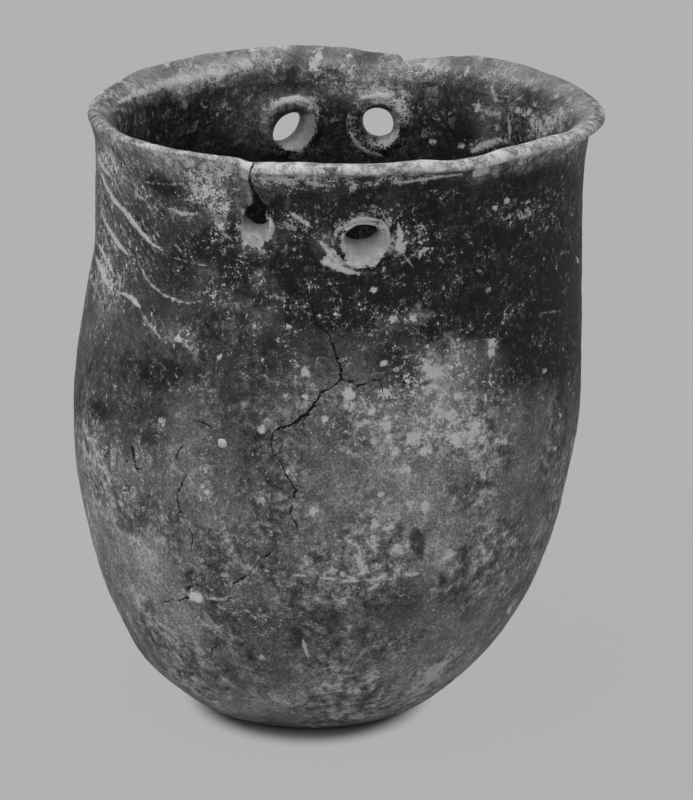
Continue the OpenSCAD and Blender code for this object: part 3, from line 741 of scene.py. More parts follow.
def line_offsets(px, py, points):
    """Signed distance of pixels from a line of pixels, and the nearest place along it as a share."""
    points = np.array(points, float)
    starts, steps = points[:-1], np.diff(points, axis=0)
    lengths = np.hypot(steps[:, 0], steps[:, 1])
    before = np.concatenate([[0], np.cumsum(lengths)])
    best = np.full(len(px), 1e9)
    signed = np.full(len(px), 1e9)
    along = np.zeros(len(px))
    for start, step, size, travelled in zip(starts, steps, lengths, before):
        dx, dy = px - start[0], py - start[1]
        share = np.clip((dx * step[0] + dy * step[1]) / size ** 2, 0, 1)
        away = np.hypot(dx - share * step[0], dy - share * step[1])
        side = np.where(step[0] * dy - step[1] * dx < 0, -1, 1)
        nearer = away < best
        best = np.where(nearer, away, best)
        signed = np.where(nearer, away * side, signed)
        along = np.where(nearer, (travelled + share * size) / before[-1], along)
    return signed, along


def line_shares(points):
    """How far along a line of pixels each of its points is, as a share."""
    steps = np.hypot(*np.diff(points, axis=0).T)
    return np.concatenate([[0], np.cumsum(steps)]) / steps.sum()


def ragged_line(points):
    """A crack's line of pixels and half widths, broken into short crooked steps."""
    stride = 3
    crookedness = 0.5
    points = np.array(points, float)
    draw = np.random.default_rng(round(points[0, 0]))
    line = [points[0]]
    for start, end in zip(points[:-1], points[1:]):
        step = end - start
        size = np.hypot(step[0], step[1])
        side = np.array([-step[1], step[0], 0]) / size
        count = max(1, round(size / stride))
        for index in range(1, count):
            crooked = start + step * index / count + side * draw.normal(0, crookedness)
            crooked[2] *= draw.uniform(0.5, 1.3)
            line.append(crooked)
        line.append(end)
    return np.array(line)


def near_box(px, py, points, margin):
    """Which pixels lie in the box round a line, widened by a margin."""
    points = np.array(points, float)[:, :2]
    low, high = points.min(0) - margin, points.max(0) + margin
    return (px > low[0]) & (px < high[0]) & (py > low[1]) & (py < high[1])


def outward_directions(shape, points):
    """Directions that point out of the clay at points of the pot, and which points are inside the pot."""
    radius, angle, height = pot_places(shape, points)
    step = 0.05 * MM
    outer_slope = (outer_radius(shape, height + step) - outer_radius(shape, height - step)) / (2 * step)
    inner_slope = (inner_radius(shape, height + step) - inner_radius(shape, height - step)) / (2 * step)
    middle = (outer_radius(shape, height) + inner_radius(shape, height)) / 2
    shoulder, edge_out, crest, _, rounding = lip_edges(shape, angle)
    up_lip = np.clip((height - band_top(shape)) / (shoulder - band_top(shape)), 0, 1)
    middle = middle + (crest - middle) * up_lip ** 2
    inside = radius < middle
    level = np.where(inside, -1.0, 1.0)
    rise = np.where(inside, inner_slope, -outer_slope) * (1 - up_lip)
    over = height > shoulder
    level = np.where(over, (radius - crest) / (edge_out - crest), level)
    rise = np.where(over, (height - shoulder) / rounding, rise)
    floor = inside & (height < shape.floor_thickness + 0.2 * MM)
    level = np.where(floor, 0, level)
    rise = np.where(floor, 1, rise)
    size = np.hypot(level, rise)
    level, rise = level / size, rise / size
    out = np.stack([level * np.sin(angle), -level * np.cos(angle), rise], axis=-1)
    return out, inside


def clouded(values, clouds, px, py, cover):
    """Values with clouds laid over them, as far as the places are covered."""
    for cloud in clouds:
        values = values + cover * cloud.strength * cloud_share(px, py, cloud)
    return values


def plain_tone(z, inside):
    """Tone of the clay by its height in millimetres, before its clouds, with painted shade and painted
    light.
    """
    # Painted shade: the inside is darkest low down and paler towards the lip, for the shade deep in the pot
    inner_wall = -1 + 0.45 * smooth(z, 104, 120) + 0.25 * smooth(z, 120, 150)
    neck = -0.22 * bell(z, 122, 20)
    # The belly is paler than the neck, partly the clay's own tone and partly painted light under the belly.
    # The second term is painted light on the heel, which stops just above the floor
    belly = 0.44 * bell(z, 42, 34) + 0.4 * (1 - smooth(z, 4, 34)) * smooth(z, 0.5, 3.5)
    return np.where(inside, inner_wall, neck + belly)


def plain_lime(z, inside):
    """Amount of lime by its height in millimetres, before its clouds, with less of it deep inside as
    painted shade.
    """
    # Painted shade: less lime low down inside keeps the deep inside of the pot dark
    inner_wall = 0.08 * smooth(z, 104, 120) + 0.22 * smooth(z, 128, 150)
    return np.where(inside, inner_wall, 0.06 + 0.16 * bell(z, 50, 42))


def lip_lime_and_highlight(angle, rise):
    """Lime and a painted highlight along the lip's edge on the right of the open crack, at angles and
    shares of the lip's depth.
    """
    degrees = np.degrees(angle)
    worn = 0.54 - 0.18 * smooth(degrees, 40, 62) + 0.12 * np.sin(angle * 23) + 0.08 * np.sin(angle * 41 + 1)
    return worn * smooth(rise, 0.5, 0.68) * smooth(degrees, -19, -16) * (1 - smooth(degrees, 70, 84))


def lime_lines(px, py, strokes, side):
    """Strength of the drawn lines of lime at pixels, on the side that the camera sees."""
    streak = np.zeros(len(px))
    for stroke in strokes:
        near = near_box(px, py, stroke.points, 3 * stroke.half_width) & (side > 0)
        signed, along = line_offsets(px[near], py[near], stroke.points)
        taper = stroke.half_width * (0.4 + 0.6 * smooth(along, 0, 0.3) * (1 - smooth(along, 0.7, 1)))
        value = stroke.strength * (1 - smooth(np.abs(signed), 0.2 * taper, 1.7 * taper))
        streak[near] = np.maximum(streak[near], value * side[near])
    return streak


def lime_spots(px, py, places, side):
    """Strength of the single spots of lime at pixels, on the side that the camera sees."""
    spots = np.zeros(len(px))
    for spot in places:
        away = np.hypot(px - spot.x, py - spot.y)
        value = spot.strength * (1 - smooth(away, 0.3 * spot.half_width, 1.9 * spot.half_width))
        spots = np.maximum(spots, value * side)
    return spots


def crack_lines(px, py, cracks, front):
    """Distance from the nearest crack, its half width and its depth at pixels, in millimetres."""
    far = 2.0
    reach = 7
    offset = np.full(len(px), far)
    width = np.zeros(len(px))
    depth = np.zeros(len(px))
    for crack in cracks:
        course = ragged_line(crack.points)
        near = np.flatnonzero(near_box(px, py, course, reach + 1) & (front > 0))
        signed, along = line_offsets(px[near], py[near], course[:, :2])
        away = np.abs(signed)
        half = np.interp(along, line_shares(course[:, :2]), course[:, 2])
        closer = (away / PIXELS_PER_MM < np.abs(offset[near])) & (away < reach)
        offset[near] = np.where(closer, signed / PIXELS_PER_MM, offset[near])
        width[near] = np.where(closer & (away < reach - 1), half / PIXELS_PER_MM, width[near])
        depth[near] = np.maximum(depth[near], crack.depth * np.clip(1 - away / (half + 0.8), 0, 1))
    return offset, width, depth


def swellings(degrees, z):
    """How far the swells and flats of the outside stand out, in millimetres."""
    return sum(
        swelling.out * bell(degrees, swelling.degrees, swelling.half_degrees)
        * bell(z, swelling.height, swelling.half_height) for swelling in SWELLS
    )


def paint(points):
    """Marks of the pot's surface at points: lime, tone, cracks, hollows and the way out of the clay."""
    shape = bpy.context.scene.beaker_shape
    place, _, _ = camera_axes(bpy.context.scene.beaker_stage)
    radius, angle, height = pot_places(shape, points)
    z = height / MM
    degrees = np.degrees(angle)
    out, inside = outward_directions(shape, points)
    px, py = photo_pixels(points)
    to_camera = place - points
    facing = np.einsum("ij,ij->i", out, to_camera) / np.linalg.norm(to_camera, axis=1)
    seen = smooth(facing, 0.0, 0.2)
    front = np.where(inside, 0, seen)
    inner = np.where(inside, seen, 0)
    rise = (height - band_top(shape)) / shape.lip_depth
    on_lip = smooth(rise, 0.45, 0.8)
    right_lip = on_lip * smooth(degrees, -19, -16) * (1 - smooth(degrees, 72, 84))

    # Past the edge of the view the clouds go on as their own mirror image and fade towards the back.
    folded = np.sign(angle) * (EDGE_ANGLE - np.abs(EDGE_ANGLE - np.abs(angle)))
    folded_px, folded_py = photo_pixels(pot_points(shape, radius, folded, height))
    cloudy = np.where(inside, 0, 1 - smooth(np.abs(angle), EDGE_ANGLE, FADE_ANGLE))
    tone = plain_tone(z, inside) + 0.5 * on_lip
    tone = clouded(tone, TONE_CLOUDS, folded_px, folded_py, cloudy)
    tone = clouded(tone, INSIDE_TONE_CLOUDS, px, py, inner)
    lime = plain_lime(z, inside) + 0.36 * on_lip + 0.25 * right_lip
    lime = clouded(lime, LIME_CLOUDS, folded_px, folded_py, cloudy)
    lime = clouded(lime, INSIDE_LIME_CLOUDS, px, py, inner)
    # The pale band along the lip's edge on the right is lime and also a painted highlight on its rolled top
    streak = np.maximum(lip_lime_and_highlight(angle, rise), lime_lines(px, py, LIME_STROKES, front))
    streak = np.maximum(streak, lime_lines(px, py, INSIDE_STROKES, inner))
    spots = np.maximum(lime_spots(px, py, LIME_SPOTS, front), lime_spots(px, py, INSIDE_SPOTS, inner))

    marks = {}
    groove = np.zeros(len(points))
    for name, cracks in (("crack", MAIN_CRACKS), ("branch", BRANCH_CRACKS)):
        marks[name + "_offset"], marks[name + "_width"], depth = crack_lines(px, py, cracks, front)
        groove = np.maximum(groove, depth)
    groove = groove - np.where(inside, 0, swellings(degrees, z))
    hollow_tone = -0.1
    for hollow in HOLLOWS:
        share = smooth(cloud_share(px, py, hollow), 0.2, 0.7) * front
        groove += hollow.strength * share
        tone = tone + (hollow_tone - tone) * share
        lime *= 1 - share
        spots *= 1 - share
    arc = shape.neck_radius * angle
    neck_crispness = 0.35 * bell(z, 122, 26)
    marks["lay"] = np.stack([arc + height, arc - height, np.zeros(len(points))], axis=-1) * math.sqrt(0.5)
    marks["brushed"] = front * cloud_share(px, py, BRUSHED)
    marks["lime"] = np.clip(lime, 0, 1.2)
    marks["streak"] = streak
    marks["spot"] = spots
    marks["crispness"] = 0.55 - 0.5 * on_lip + np.where(inside, -0.3, neck_crispness)
    marks["tone"] = np.clip(tone, -1, 2)
    marks["groove"] = groove * MM
    marks["out"] = out * smooth(height, 0.2 * MM, 5 * MM)[:, None]
    return marks


def store_marks(mesh, marks):
    """Writes marks to a mesh as attributes of its points."""
    for name, values in marks.items():
        kind, key = ("FLOAT_VECTOR", "vector") if values.ndim == 2 else ("FLOAT", "value")
        attribute = mesh.attributes.get(name) or mesh.attributes.new(name, kind, "POINT")
        attribute.data.foreach_set(key, values.astype(np.float32).ravel())


class NodeMaker:
    """Adds nodes to a tree and feeds their sockets."""

    def __init__(self, tree):
        self.tree = tree

    def add(self, kind, inputs=None, **settings):
        """A new node with its settings and its inputs fed."""
        node = self.tree.nodes.new(kind)
        for key, value in settings.items():
            setattr(node, key, value)
        for key, value in (inputs or {}).items():
            self.feed(node.inputs[key], value)
        return node

    def feed(self, socket, value):
        """Links a socket to another one, or sets its value."""
        if isinstance(value, bpy.types.NodeSocket):
            self.tree.links.new(value, socket)
        else:
            socket.default_value = value

    def math(self, operation, first, second=0.0, clamp=False):
        """One step of arithmetic."""
        node = self.add("ShaderNodeMath", {0: first, 1: second}, operation=operation, use_clamp=clamp)
        return node.outputs[0]

    def total(self, *values):
        """The sum of values."""
        result = values[0]
        for value in values[1:]:
            result = self.math("ADD", result, value)
        return result

    def scaled_vector(self, vector, factors):
        """A vector times factors along its axes."""
        return self.add("ShaderNodeVectorMath", {0: vector, 1: factors}, operation="MULTIPLY").outputs[0]

    def noise(self, vector, scale, detail=3.0, roughness=0.55, distortion=0.0):
        """Plain noise about a half."""
        sockets = {"Vector": vector, "Scale": scale, "Detail": detail, "Roughness": roughness,
                   "Distortion": distortion}
        return self.add("ShaderNodeTexNoise", sockets).outputs[0]

    def spread(self, vector, size, detail=3.0, distortion=0.0):
        """Noise about 0 with a spread of about 1, for features of a size."""
        plain = self.noise(vector, self.math("DIVIDE", 1.0, size), detail, 0.6, distortion)
        return self.math("MULTIPLY", self.math("SUBTRACT", plain, 0.5), 13.0)

    def weighed(self, *pairs):
        """The sum of values times their weights."""
        return self.total(*(self.math("MULTIPLY", value, weight) for value, weight in pairs))

    def cells(self, vector, scale):
        """Scattered cells, each with its own colour."""
        return self.add("ShaderNodeTexVoronoi", {"Vector": vector, "Scale": scale})

    def step(self, value, low, high, start=0.0, end=1.0):
        """A smooth change from start to end between low and high."""
        sockets = {0: value, 1: low, 2: high, 3: start, 4: end}
        return self.add("ShaderNodeMapRange", sockets, interpolation_type="SMOOTHSTEP").outputs[0]

    def mix(self, share, first, second):
        """Two colours mixed by the share of the second."""
        return self.add("ShaderNodeMix", {0: share, 6: first, 7: second}, data_type="RGBA").outputs[2]

    def blend(self, share, first, second):
        """Two values mixed by the share of the second."""
        return self.add("ShaderNodeMix", {0: share, 2: first, 3: second}, data_type="FLOAT").outputs[0]


def new_tree(name, kind, inputs, outputs):
    """A node group with its sockets, its maker, and its input and output nodes."""
    tree = bpy.data.node_groups.new(name, kind)
    for socket_name, socket_type, default in inputs:
        socket = tree.interface.new_socket(name=socket_name, in_out="INPUT", socket_type=socket_type)
        if default is not None:
            socket.default_value = default
    for socket_name, socket_type in outputs:
        tree.interface.new_socket(name=socket_name, in_out="OUTPUT", socket_type=socket_type)
    maker = NodeMaker(tree)
    return tree, maker, maker.add("NodeGroupInput"), maker.add("NodeGroupOutput")


def named_attribute(maker, name, kind):
    """The output of a node that reads an attribute in a geometry tree."""
    node = maker.add("GeometryNodeInputNamedAttribute", {"Name": name}, data_type=kind)
    return next(socket for socket in node.outputs if socket.enabled and socket.name == "Attribute")


def worked_clay_tree():
    """Geometry nodes that dent, scrape and pit the clay along its own outward directions."""
    inputs = [("Geometry", "NodeSocketGeometry", None)]
    for mark in ("Dent", "Scrape", "Pit"):
        inputs += [(mark + " depth", "NodeSocketFloat", MM), (mark + " size", "NodeSocketFloat", MM)]
    inputs.append(("Crust height", "NodeSocketFloat", MM))
    inputs.append(("Material", "NodeSocketMaterial", None))
    tree, maker, given, result = new_tree(
        "worked_clay", "GeometryNodeTree", inputs, [("Geometry", "NodeSocketGeometry")]
    )
    size = given.outputs
    place = maker.add("GeometryNodeInputPosition").outputs[0]
    swing = 2.4

    def relief(vector, mark, *settings):
        """Noise about 0 with the size and the depth of a mark."""
        plain = maker.noise(vector, maker.math("DIVIDE", 1.0, size[mark + " size"]), *settings)
        depth = maker.math("MULTIPLY", size[mark + " depth"], swing)
        return maker.math("MULTIPLY", maker.math("SUBTRACT", plain, 0.5), depth)

    dents = relief(place, "Dent", 1.5, 0.5)
    drawn_out = maker.scaled_vector(place, (0.75, 0.75, 1.5))
    scrapes = relief(drawn_out, "Scrape", 4.0, 0.6, 0.3)
    cell = maker.cells(place, maker.math("DIVIDE", 1.0, size["Pit size"]))
    pick = maker.step(cell.outputs["Color"], 0.62, 0.8)
    pits = maker.math("MULTIPLY", maker.step(cell.outputs["Distance"], 0.1, 0.34, 1.0, 0.0), pick)
    pits = maker.math("MULTIPLY", pits, size["Pit depth"])
    lime = named_attribute(maker, "streak", "FLOAT")
    crust = maker.math("MULTIPLY", lime, size["Crust height"])
    groove = named_attribute(maker, "groove", "FLOAT")
    height = maker.math("SUBTRACT", maker.total(dents, scrapes, crust), maker.math("ADD", pits, groove))
    out = named_attribute(maker, "out", "FLOAT_VECTOR")
    offset = maker.add("ShaderNodeVectorMath", {0: out, "Scale": height}, operation="SCALE").outputs[0]
    moved = maker.add("GeometryNodeSetPosition", {"Geometry": given.outputs["Geometry"], "Offset": offset})
    whole = maker.add("GeometryNodeRealizeInstances", {"Geometry": moved.outputs[0]})
    finished = maker.add(
        "GeometryNodeSetMaterial", {"Geometry": whole.outputs[0], "Material": given.outputs["Material"]}
    )
    maker.feed(result.inputs["Geometry"], finished.outputs[0])
    return tree


def group_once(name, build):
    """A node group by name, built the first time it is asked for."""
    return bpy.data.node_groups.get(name) or build()


def set_tree_inputs(modifier, values):
    """Sets a geometry tree's inputs on its modifier, by the sockets' identifiers."""
    for item in modifier.node_group.interface.items_tree:
        if item.item_type == "SOCKET" and item.in_out == "INPUT" and item.name in values:
            modifier[item.identifier] = values[item.name]


def plain_mesh(piece):
    """Turns an object with modifiers into one with a plain mesh."""
    depsgraph = bpy.context.evaluated_depsgraph_get()
    made = bpy.data.meshes.new_from_object(piece.evaluated_get(depsgraph))
    old = piece.data
    piece.modifiers.clear()
    piece.data = made
    made.name = piece.name
    bpy.data.meshes.remove(old)


def cut_away(piece, *cutters):
    """Takes the shapes of other objects out of a piece, and removes those objects."""
    for cutter in cutters:
        modifier = piece.modifiers.new("cut", "BOOLEAN")
        modifier.operation = "DIFFERENCE"
        modifier.solver = "EXACT"
        modifier.object = cutter
    plain_mesh(piece)
    for cutter in cutters:
        bpy.data.meshes.remove(cutter.data)


def work_clay(piece, material, depth_share=1.0):
    """Gives a piece its marks and its hand-worked surface."""
    surface = bpy.context.scene.beaker_surface
    store_marks(piece.data, paint(mesh_points(piece.data)))
    modifier = piece.modifiers.new("worked_clay", "NODES")
    modifier.node_group = group_once("worked_clay", worked_clay_tree)
    set_tree_inputs(modifier, {
        "Dent depth": surface.dent_depth,
        "Dent size": surface.dent_size,
        "Scrape depth": surface.scrape_depth * depth_share,
        "Scrape size": surface.scrape_size,
        "Pit depth": surface.pit_depth * depth_share,
        "Pit size": surface.pit_size,
        "Crust height": surface.crust_height,
        "Material": material,
    })
    plain_mesh(piece)
    for name in ("out", "groove"):
        piece.data.attributes.remove(piece.data.attributes[name])


def hand_over(piece, node):
    """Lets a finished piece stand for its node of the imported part."""
    piece.data.shade_smooth()
    piece.data.set_sharp_from_angle(angle=SHARP_ANGLE)
    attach(piece, "root")
    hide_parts(node)


def shader_tree(name, inputs, outputs):
    """A shader group. An input without a default takes a vector, and one with four numbers a colour."""
    kinds = {type(None): "NodeSocketVector", tuple: "NodeSocketColor", float: "NodeSocketFloat"}
    given = [(key, kinds[type(value)], value) for key, value in inputs.items()]
    made = [(key, kinds[tuple if key == "Color" else float]) for key in outputs]
    return new_tree(name, "ShaderNodeTree", given, made)


def clay_group():
    """Mottled clay between its dark and pale colours, with noise that grows with its paleness."""
    tree, maker, given, result = shader_tree("speckled_clay", {
        "Vector": None, "Tone": 0.0, "Dark": (0, 0, 0, 1), "Pale": (1, 1, 1, 1), "Brush": 0.0,
        "Level": 0.128, "Cloud size": 0.013, "Mottle size": 0.005, "Fleck size": 0.002,
        "Grain size": 0.0006,
    }, ("Color", "Height"))
    vector = given.outputs["Vector"]
    cloud = maker.spread(vector, given.outputs["Cloud size"], 2.0, 0.4)
    mottle = maker.spread(vector, given.outputs["Mottle size"], 2.0, 0.4)
    fleck = maker.spread(vector, given.outputs["Fleck size"], 3.0, 0.4)
    grain = maker.spread(vector, given.outputs["Grain size"], 2.0)
    level = maker.math("ADD", given.outputs["Level"], maker.math("MULTIPLY", given.outputs["Tone"], 0.29))
    level = maker.math("MAXIMUM", level, 0.01)
    uneven = maker.spread(vector, maker.math("MULTIPLY", given.outputs["Cloud size"], 1.4), 1.0)
    uneven = maker.step(uneven, -1.2, 1.4, 0.3, 1.8)
    marbled = maker.math("MULTIPLY", maker.weighed((mottle, 0.3), (fleck, 0.34)), uneven)
    change = maker.total(
        marbled, maker.weighed((cloud, 0.22), (grain, 0.34), (given.outputs["Brush"], 0.4))
    )
    change = maker.math("POWER", 2.0, change)
    share = maker.math("MULTIPLY", level, change)
    maker.feed(result.inputs["Color"], maker.mix(share, given.outputs["Dark"], given.outputs["Pale"]))
    maker.feed(result.inputs["Height"], maker.weighed((grain, 0.05), (fleck, 0.12)))
    return tree


def crust_group():
    """Lime in a film of specks that thickens with its amount, with drawn marks: mask, shade and height."""
    tree, maker, given, result = shader_tree("lime_crust", {
        "Vector": None, "Amount": 0.0, "Streak": 0.0, "Spot": 0.0, "Crispness": 0.5, "Brush": 0.0,
        "Patch size": 0.0018, "Grain size": 0.0005,
    }, ("Mask", "Shade", "Height"))
    vector = given.outputs["Vector"]
    patch = maker.spread(vector, given.outputs["Patch size"], 4.0, 0.3)
    broad = maker.spread(vector, maker.math("MULTIPLY", given.outputs["Patch size"], 4.0), 2.0)
    grain = maker.spread(vector, given.outputs["Grain size"], 2.0)
    amount = given.outputs["Amount"]
    streak = given.outputs["Streak"]

    speck = maker.weighed((grain, 0.8), (broad, 0.55), (patch, 0.65), (given.outputs["Brush"], 0.6))
    contrast = maker.math("ADD", 0.5, maker.math("MULTIPLY", given.outputs["Crispness"], 1.9))
    evened = maker.math("MULTIPLY", maker.math("MULTIPLY", contrast, contrast), -0.41)
    doublings = maker.total(
        maker.math("MULTIPLY", speck, contrast), maker.math("MULTIPLY", amount, 5.5), evened, -6.0
    )
    film = maker.math("POWER", 2.0, doublings, clamp=True)
    blot = maker.spread(vector, maker.math("MULTIPLY", given.outputs["Patch size"], 2.2), 2.0, 0.4)
    blot = maker.step(maker.weighed((blot, 1.0), (grain, 0.3), (patch, 0.3)), 1.0, 3.0)
    blot = maker.math("MULTIPLY", blot, maker.step(amount, 0.05, 0.4, 0.1, 0.7))
    film = maker.math("MAXIMUM", film, blot)
    ragged = maker.math("ADD", streak, maker.weighed((patch, 0.1), (grain, 0.05)))
    drawn = maker.math("MULTIPLY", maker.step(ragged, 0.1, 0.85), maker.step(streak, 0.02, 0.2))
    spot = given.outputs["Spot"]
    ragged = maker.math("ADD", spot, maker.weighed((patch, 0.16), (grain, 0.07)))
    spots = maker.math("MULTIPLY", maker.step(ragged, 0.2, 0.75), maker.step(spot, 0.02, 0.2))
    mask = maker.math("MAXIMUM", film, maker.math("MULTIPLY", maker.math("MAXIMUM", drawn, spots), 0.9))
    maker.feed(result.inputs["Mask"], mask)
    uneven = maker.step(maker.weighed((grain, 0.5), (broad, 0.5), (patch, 0.4)), -1.2, 1.2)
    white = maker.math("MAXIMUM", drawn, maker.math("MULTIPLY", spots, maker.step(spot, 0.4, 0.8)))
    maker.feed(result.inputs["Shade"], maker.math("MAXIMUM", uneven, maker.math("MULTIPLY", white, 0.95)))
    knobbly = maker.step(grain, -3.0, 3.0, 0.5, 1.5)
    maker.feed(result.inputs["Height"], maker.math("MULTIPLY", mask, knobbly))
    return tree


def brush_group():
    """Fine lines along the way a hand or a wisp was drawn, from a stored place across and along it."""
    tree, maker, given, result = shader_tree(
        "brush_lines", {"Lay": None, "Strength": 0.0, "Line size": 0.0009, "Stretch": 0.09}, ("Value",)
    )
    factors = maker.add("ShaderNodeCombineXYZ", {0: 1.0, 1: given.outputs["Stretch"], 2: 1.0}).outputs[0]
    drawn_out = maker.scaled_vector(given.outputs["Lay"], factors)
    lines = maker.spread(drawn_out, given.outputs["Line size"], 2.0)
    maker.feed(result.inputs["Value"], maker.math("MULTIPLY", lines, given.outputs["Strength"]))
    return tree


def hairline_group():
    """A crisp dark line from a stored distance and half width, both in millimetres."""
    tree, maker, given, result = shader_tree(
        "hairline", {"Vector": None, "Offset": 2.0, "Half width": 0.0, "Wobble": 0.13}, ("Mask",)
    )
    wave = maker.spread(given.outputs["Vector"], 1.0 * MM, 3.0)
    away = maker.math("ADD", given.outputs["Offset"], maker.math("MULTIPLY", wave, given.outputs["Wobble"]))
    away = maker.math("ABSOLUTE", away)
    width = maker.math("MULTIPLY", given.outputs["Half width"], maker.step(wave, -1.5, 1.5, 0.6, 1.6))
    inside = maker.math("SUBTRACT", width, away)
    maker.feed(result.inputs["Mask"], maker.step(inside, -0.05, 0.05))
    return tree


def attribute_value(maker, name, output="Fac"):
    """A stored mark, read in a material."""
    node = maker.add("ShaderNodeAttribute", attribute_name=name, attribute_type="GEOMETRY")
    return node.outputs[output]


def opaque(colour):
    """A colour with its alpha."""
    return (colour[0], colour[1], colour[2], 1.0)


def placed_group(maker, name, build, values):
    """A shared node group in a material, with its own values."""
    node = maker.add("ShaderNodeGroup", node_tree=group_once(name, build))
    for key, value in values.items():
        maker.feed(node.inputs[key], value)
    return node.outputs


def new_material(name):
    """A material with its shader, its maker and its object coordinates."""
    material = bpy.data.materials.new(name)
    material.use_nodes = True
    maker = NodeMaker(material.node_tree)
    shader = material.node_tree.nodes["Principled BSDF"]
    vector = maker.add("ShaderNodeTexCoord").outputs["Object"]
    return material, maker, shader, vector


def crusted(maker, clay, crust):
    """The colour of clay under its lime."""
    finish = bpy.context.scene.beaker_finish
    chalk = maker.mix(crust["Shade"], opaque(finish.dull_lime), opaque(finish.lime))
    return maker.mix(crust["Mask"], clay["Color"], chalk)


def roughen(maker, shader, height, strength, distance, specular):
    """Gives a shader its bumps and its mirrored light."""
    bump = maker.add("ShaderNodeBump", {"Height": height, "Strength": strength, "Distance": distance})
    maker.feed(shader.inputs["Normal"], bump.outputs[0])
    shader.inputs["Specular IOR Level"].default_value = specular


def clay_material(name, lime_patch, roughness):
    """Dark fired clay with lime crust and cracks."""
    finish = bpy.context.scene.beaker_finish
    material, maker, shader, vector = new_material(name)
    brush = placed_group(maker, "brush_lines", brush_group, {
        "Lay": attribute_value(maker, "lay", "Vector"), "Strength": attribute_value(maker, "brushed"),
    })["Value"]
    clay = placed_group(maker, "speckled_clay", clay_group, {
        "Vector": vector, "Tone": attribute_value(maker, "tone"), "Brush": brush,
        "Dark": opaque(finish.dark_clay), "Pale": opaque(finish.pale_clay),
    })
    crust = placed_group(maker, "lime_crust", crust_group, {
        "Vector": vector, "Amount": attribute_value(maker, "lime"), "Brush": brush,
        "Streak": attribute_value(maker, "streak"), "Spot": attribute_value(maker, "spot"),
        "Crispness": attribute_value(maker, "crispness"), "Patch size": lime_patch,
    })
    lines = []
    for mark in ("crack", "branch"):
        lines.append(placed_group(maker, "hairline", hairline_group, {
            "Vector": vector, "Offset": attribute_value(maker, mark + "_offset"),
            "Half width": attribute_value(maker, mark + "_width"),
        })["Mask"])
    crack = maker.math("MAXIMUM", lines[0], lines[1])
    colour = maker.mix(crack, crusted(maker, clay, crust), opaque(finish.crack_shade))
    maker.feed(shader.inputs["Base Color"], colour)
    maker.feed(shader.inputs["Roughness"], maker.blend(crust["Mask"], roughness, 0.9))
    height = maker.weighed((clay["Height"], 0.5), (crust["Height"], 0.6), (crack, -1.2))
    roughen(maker, shader, height, 0.7, 0.12 * MM, CLAY_SPECULAR)
    return material


def collar_material():
    """The paler clay of a collar, smooth in its funnel and crusted round its mouth, with painted shade
    towards the throat.
    """
    finish = bpy.context.scene.beaker_finish
    material, maker, shader, vector = new_material("fired_collar")
    clay = placed_group(maker, "speckled_clay", clay_group, {
        "Vector": vector, "Tone": attribute_value(maker, "tone"), "Dark": opaque(finish.dark_clay),
        "Pale": opaque(finish.pale_clay), "Mottle size": 0.006,
    })
    funnel = placed_group(maker, "speckled_clay", clay_group, {
        "Vector": vector, "Dark": opaque(finish.dull_lime), "Pale": opaque(finish.hole_clay),
        "Level": 0.55, "Mottle size": 0.004,
    })
    crust = placed_group(maker, "lime_crust", crust_group, {
        "Vector": vector, "Amount": attribute_value(maker, "lime"),
        "Streak": attribute_value(maker, "streak"), "Spot": attribute_value(maker, "spot"),
        "Crispness": attribute_value(maker, "crispness"),
    })
    uneven = maker.math("MULTIPLY", maker.math("SUBTRACT", crust["Shade"], 0.5), 1.1)
    bare = maker.step(maker.math("ADD", attribute_value(maker, "funnel"), uneven), 0.25, 0.95)
    # Painted shade: the funnel darkens towards its throat, where shade falls in the hole
    painted_throat_shade = maker.step(attribute_value(maker, "deep"), 0.25, 1.05, 0.0, 0.72)
    shaded_funnel = maker.mix(painted_throat_shade, funnel["Color"], opaque(finish.throat))
    colour = maker.mix(bare, crusted(maker, clay, crust), shaded_funnel)
    maker.feed(shader.inputs["Base Color"], colour)
    maker.feed(shader.inputs["Roughness"], maker.blend(crust["Mask"], 0.62, 0.9))
    height = maker.weighed((clay["Height"], 0.4), (crust["Height"], 0.7))
    roughen(maker, shader, height, 0.6, 0.12 * MM, CLAY_SPECULAR)
    return material


def lime_material():
    """Chalky lime with a little dirt in it."""
    finish = bpy.context.scene.beaker_finish
    material, maker, shader, vector = new_material("chalky_lime")
    chalk = placed_group(maker, "speckled_clay", clay_group, {
        "Vector": vector, "Dark": opaque(finish.dull_lime), "Pale": opaque(finish.lime),
        "Level": 0.75, "Mottle size": 0.003, "Grain size": 0.0004,
    })
    maker.feed(shader.inputs["Base Color"], chalk["Color"])
    roughen(maker, shader, chalk["Height"], 0.6, 0.1 * MM, 0.3)
    shader.inputs["Roughness"].default_value = 0.92
    return material


def seen_directly(maker):
    """1 for rays of the camera, of mirrors and of glass, and 0 for rays that carry light to the pot."""
    ray = maker.add("ShaderNodeLightPath").outputs
    through = maker.math("MAXIMUM", ray["Is Glossy Ray"], ray["Is Transmission Ray"])
    return maker.math("MAXIMUM", ray["Is Camera Ray"], through)


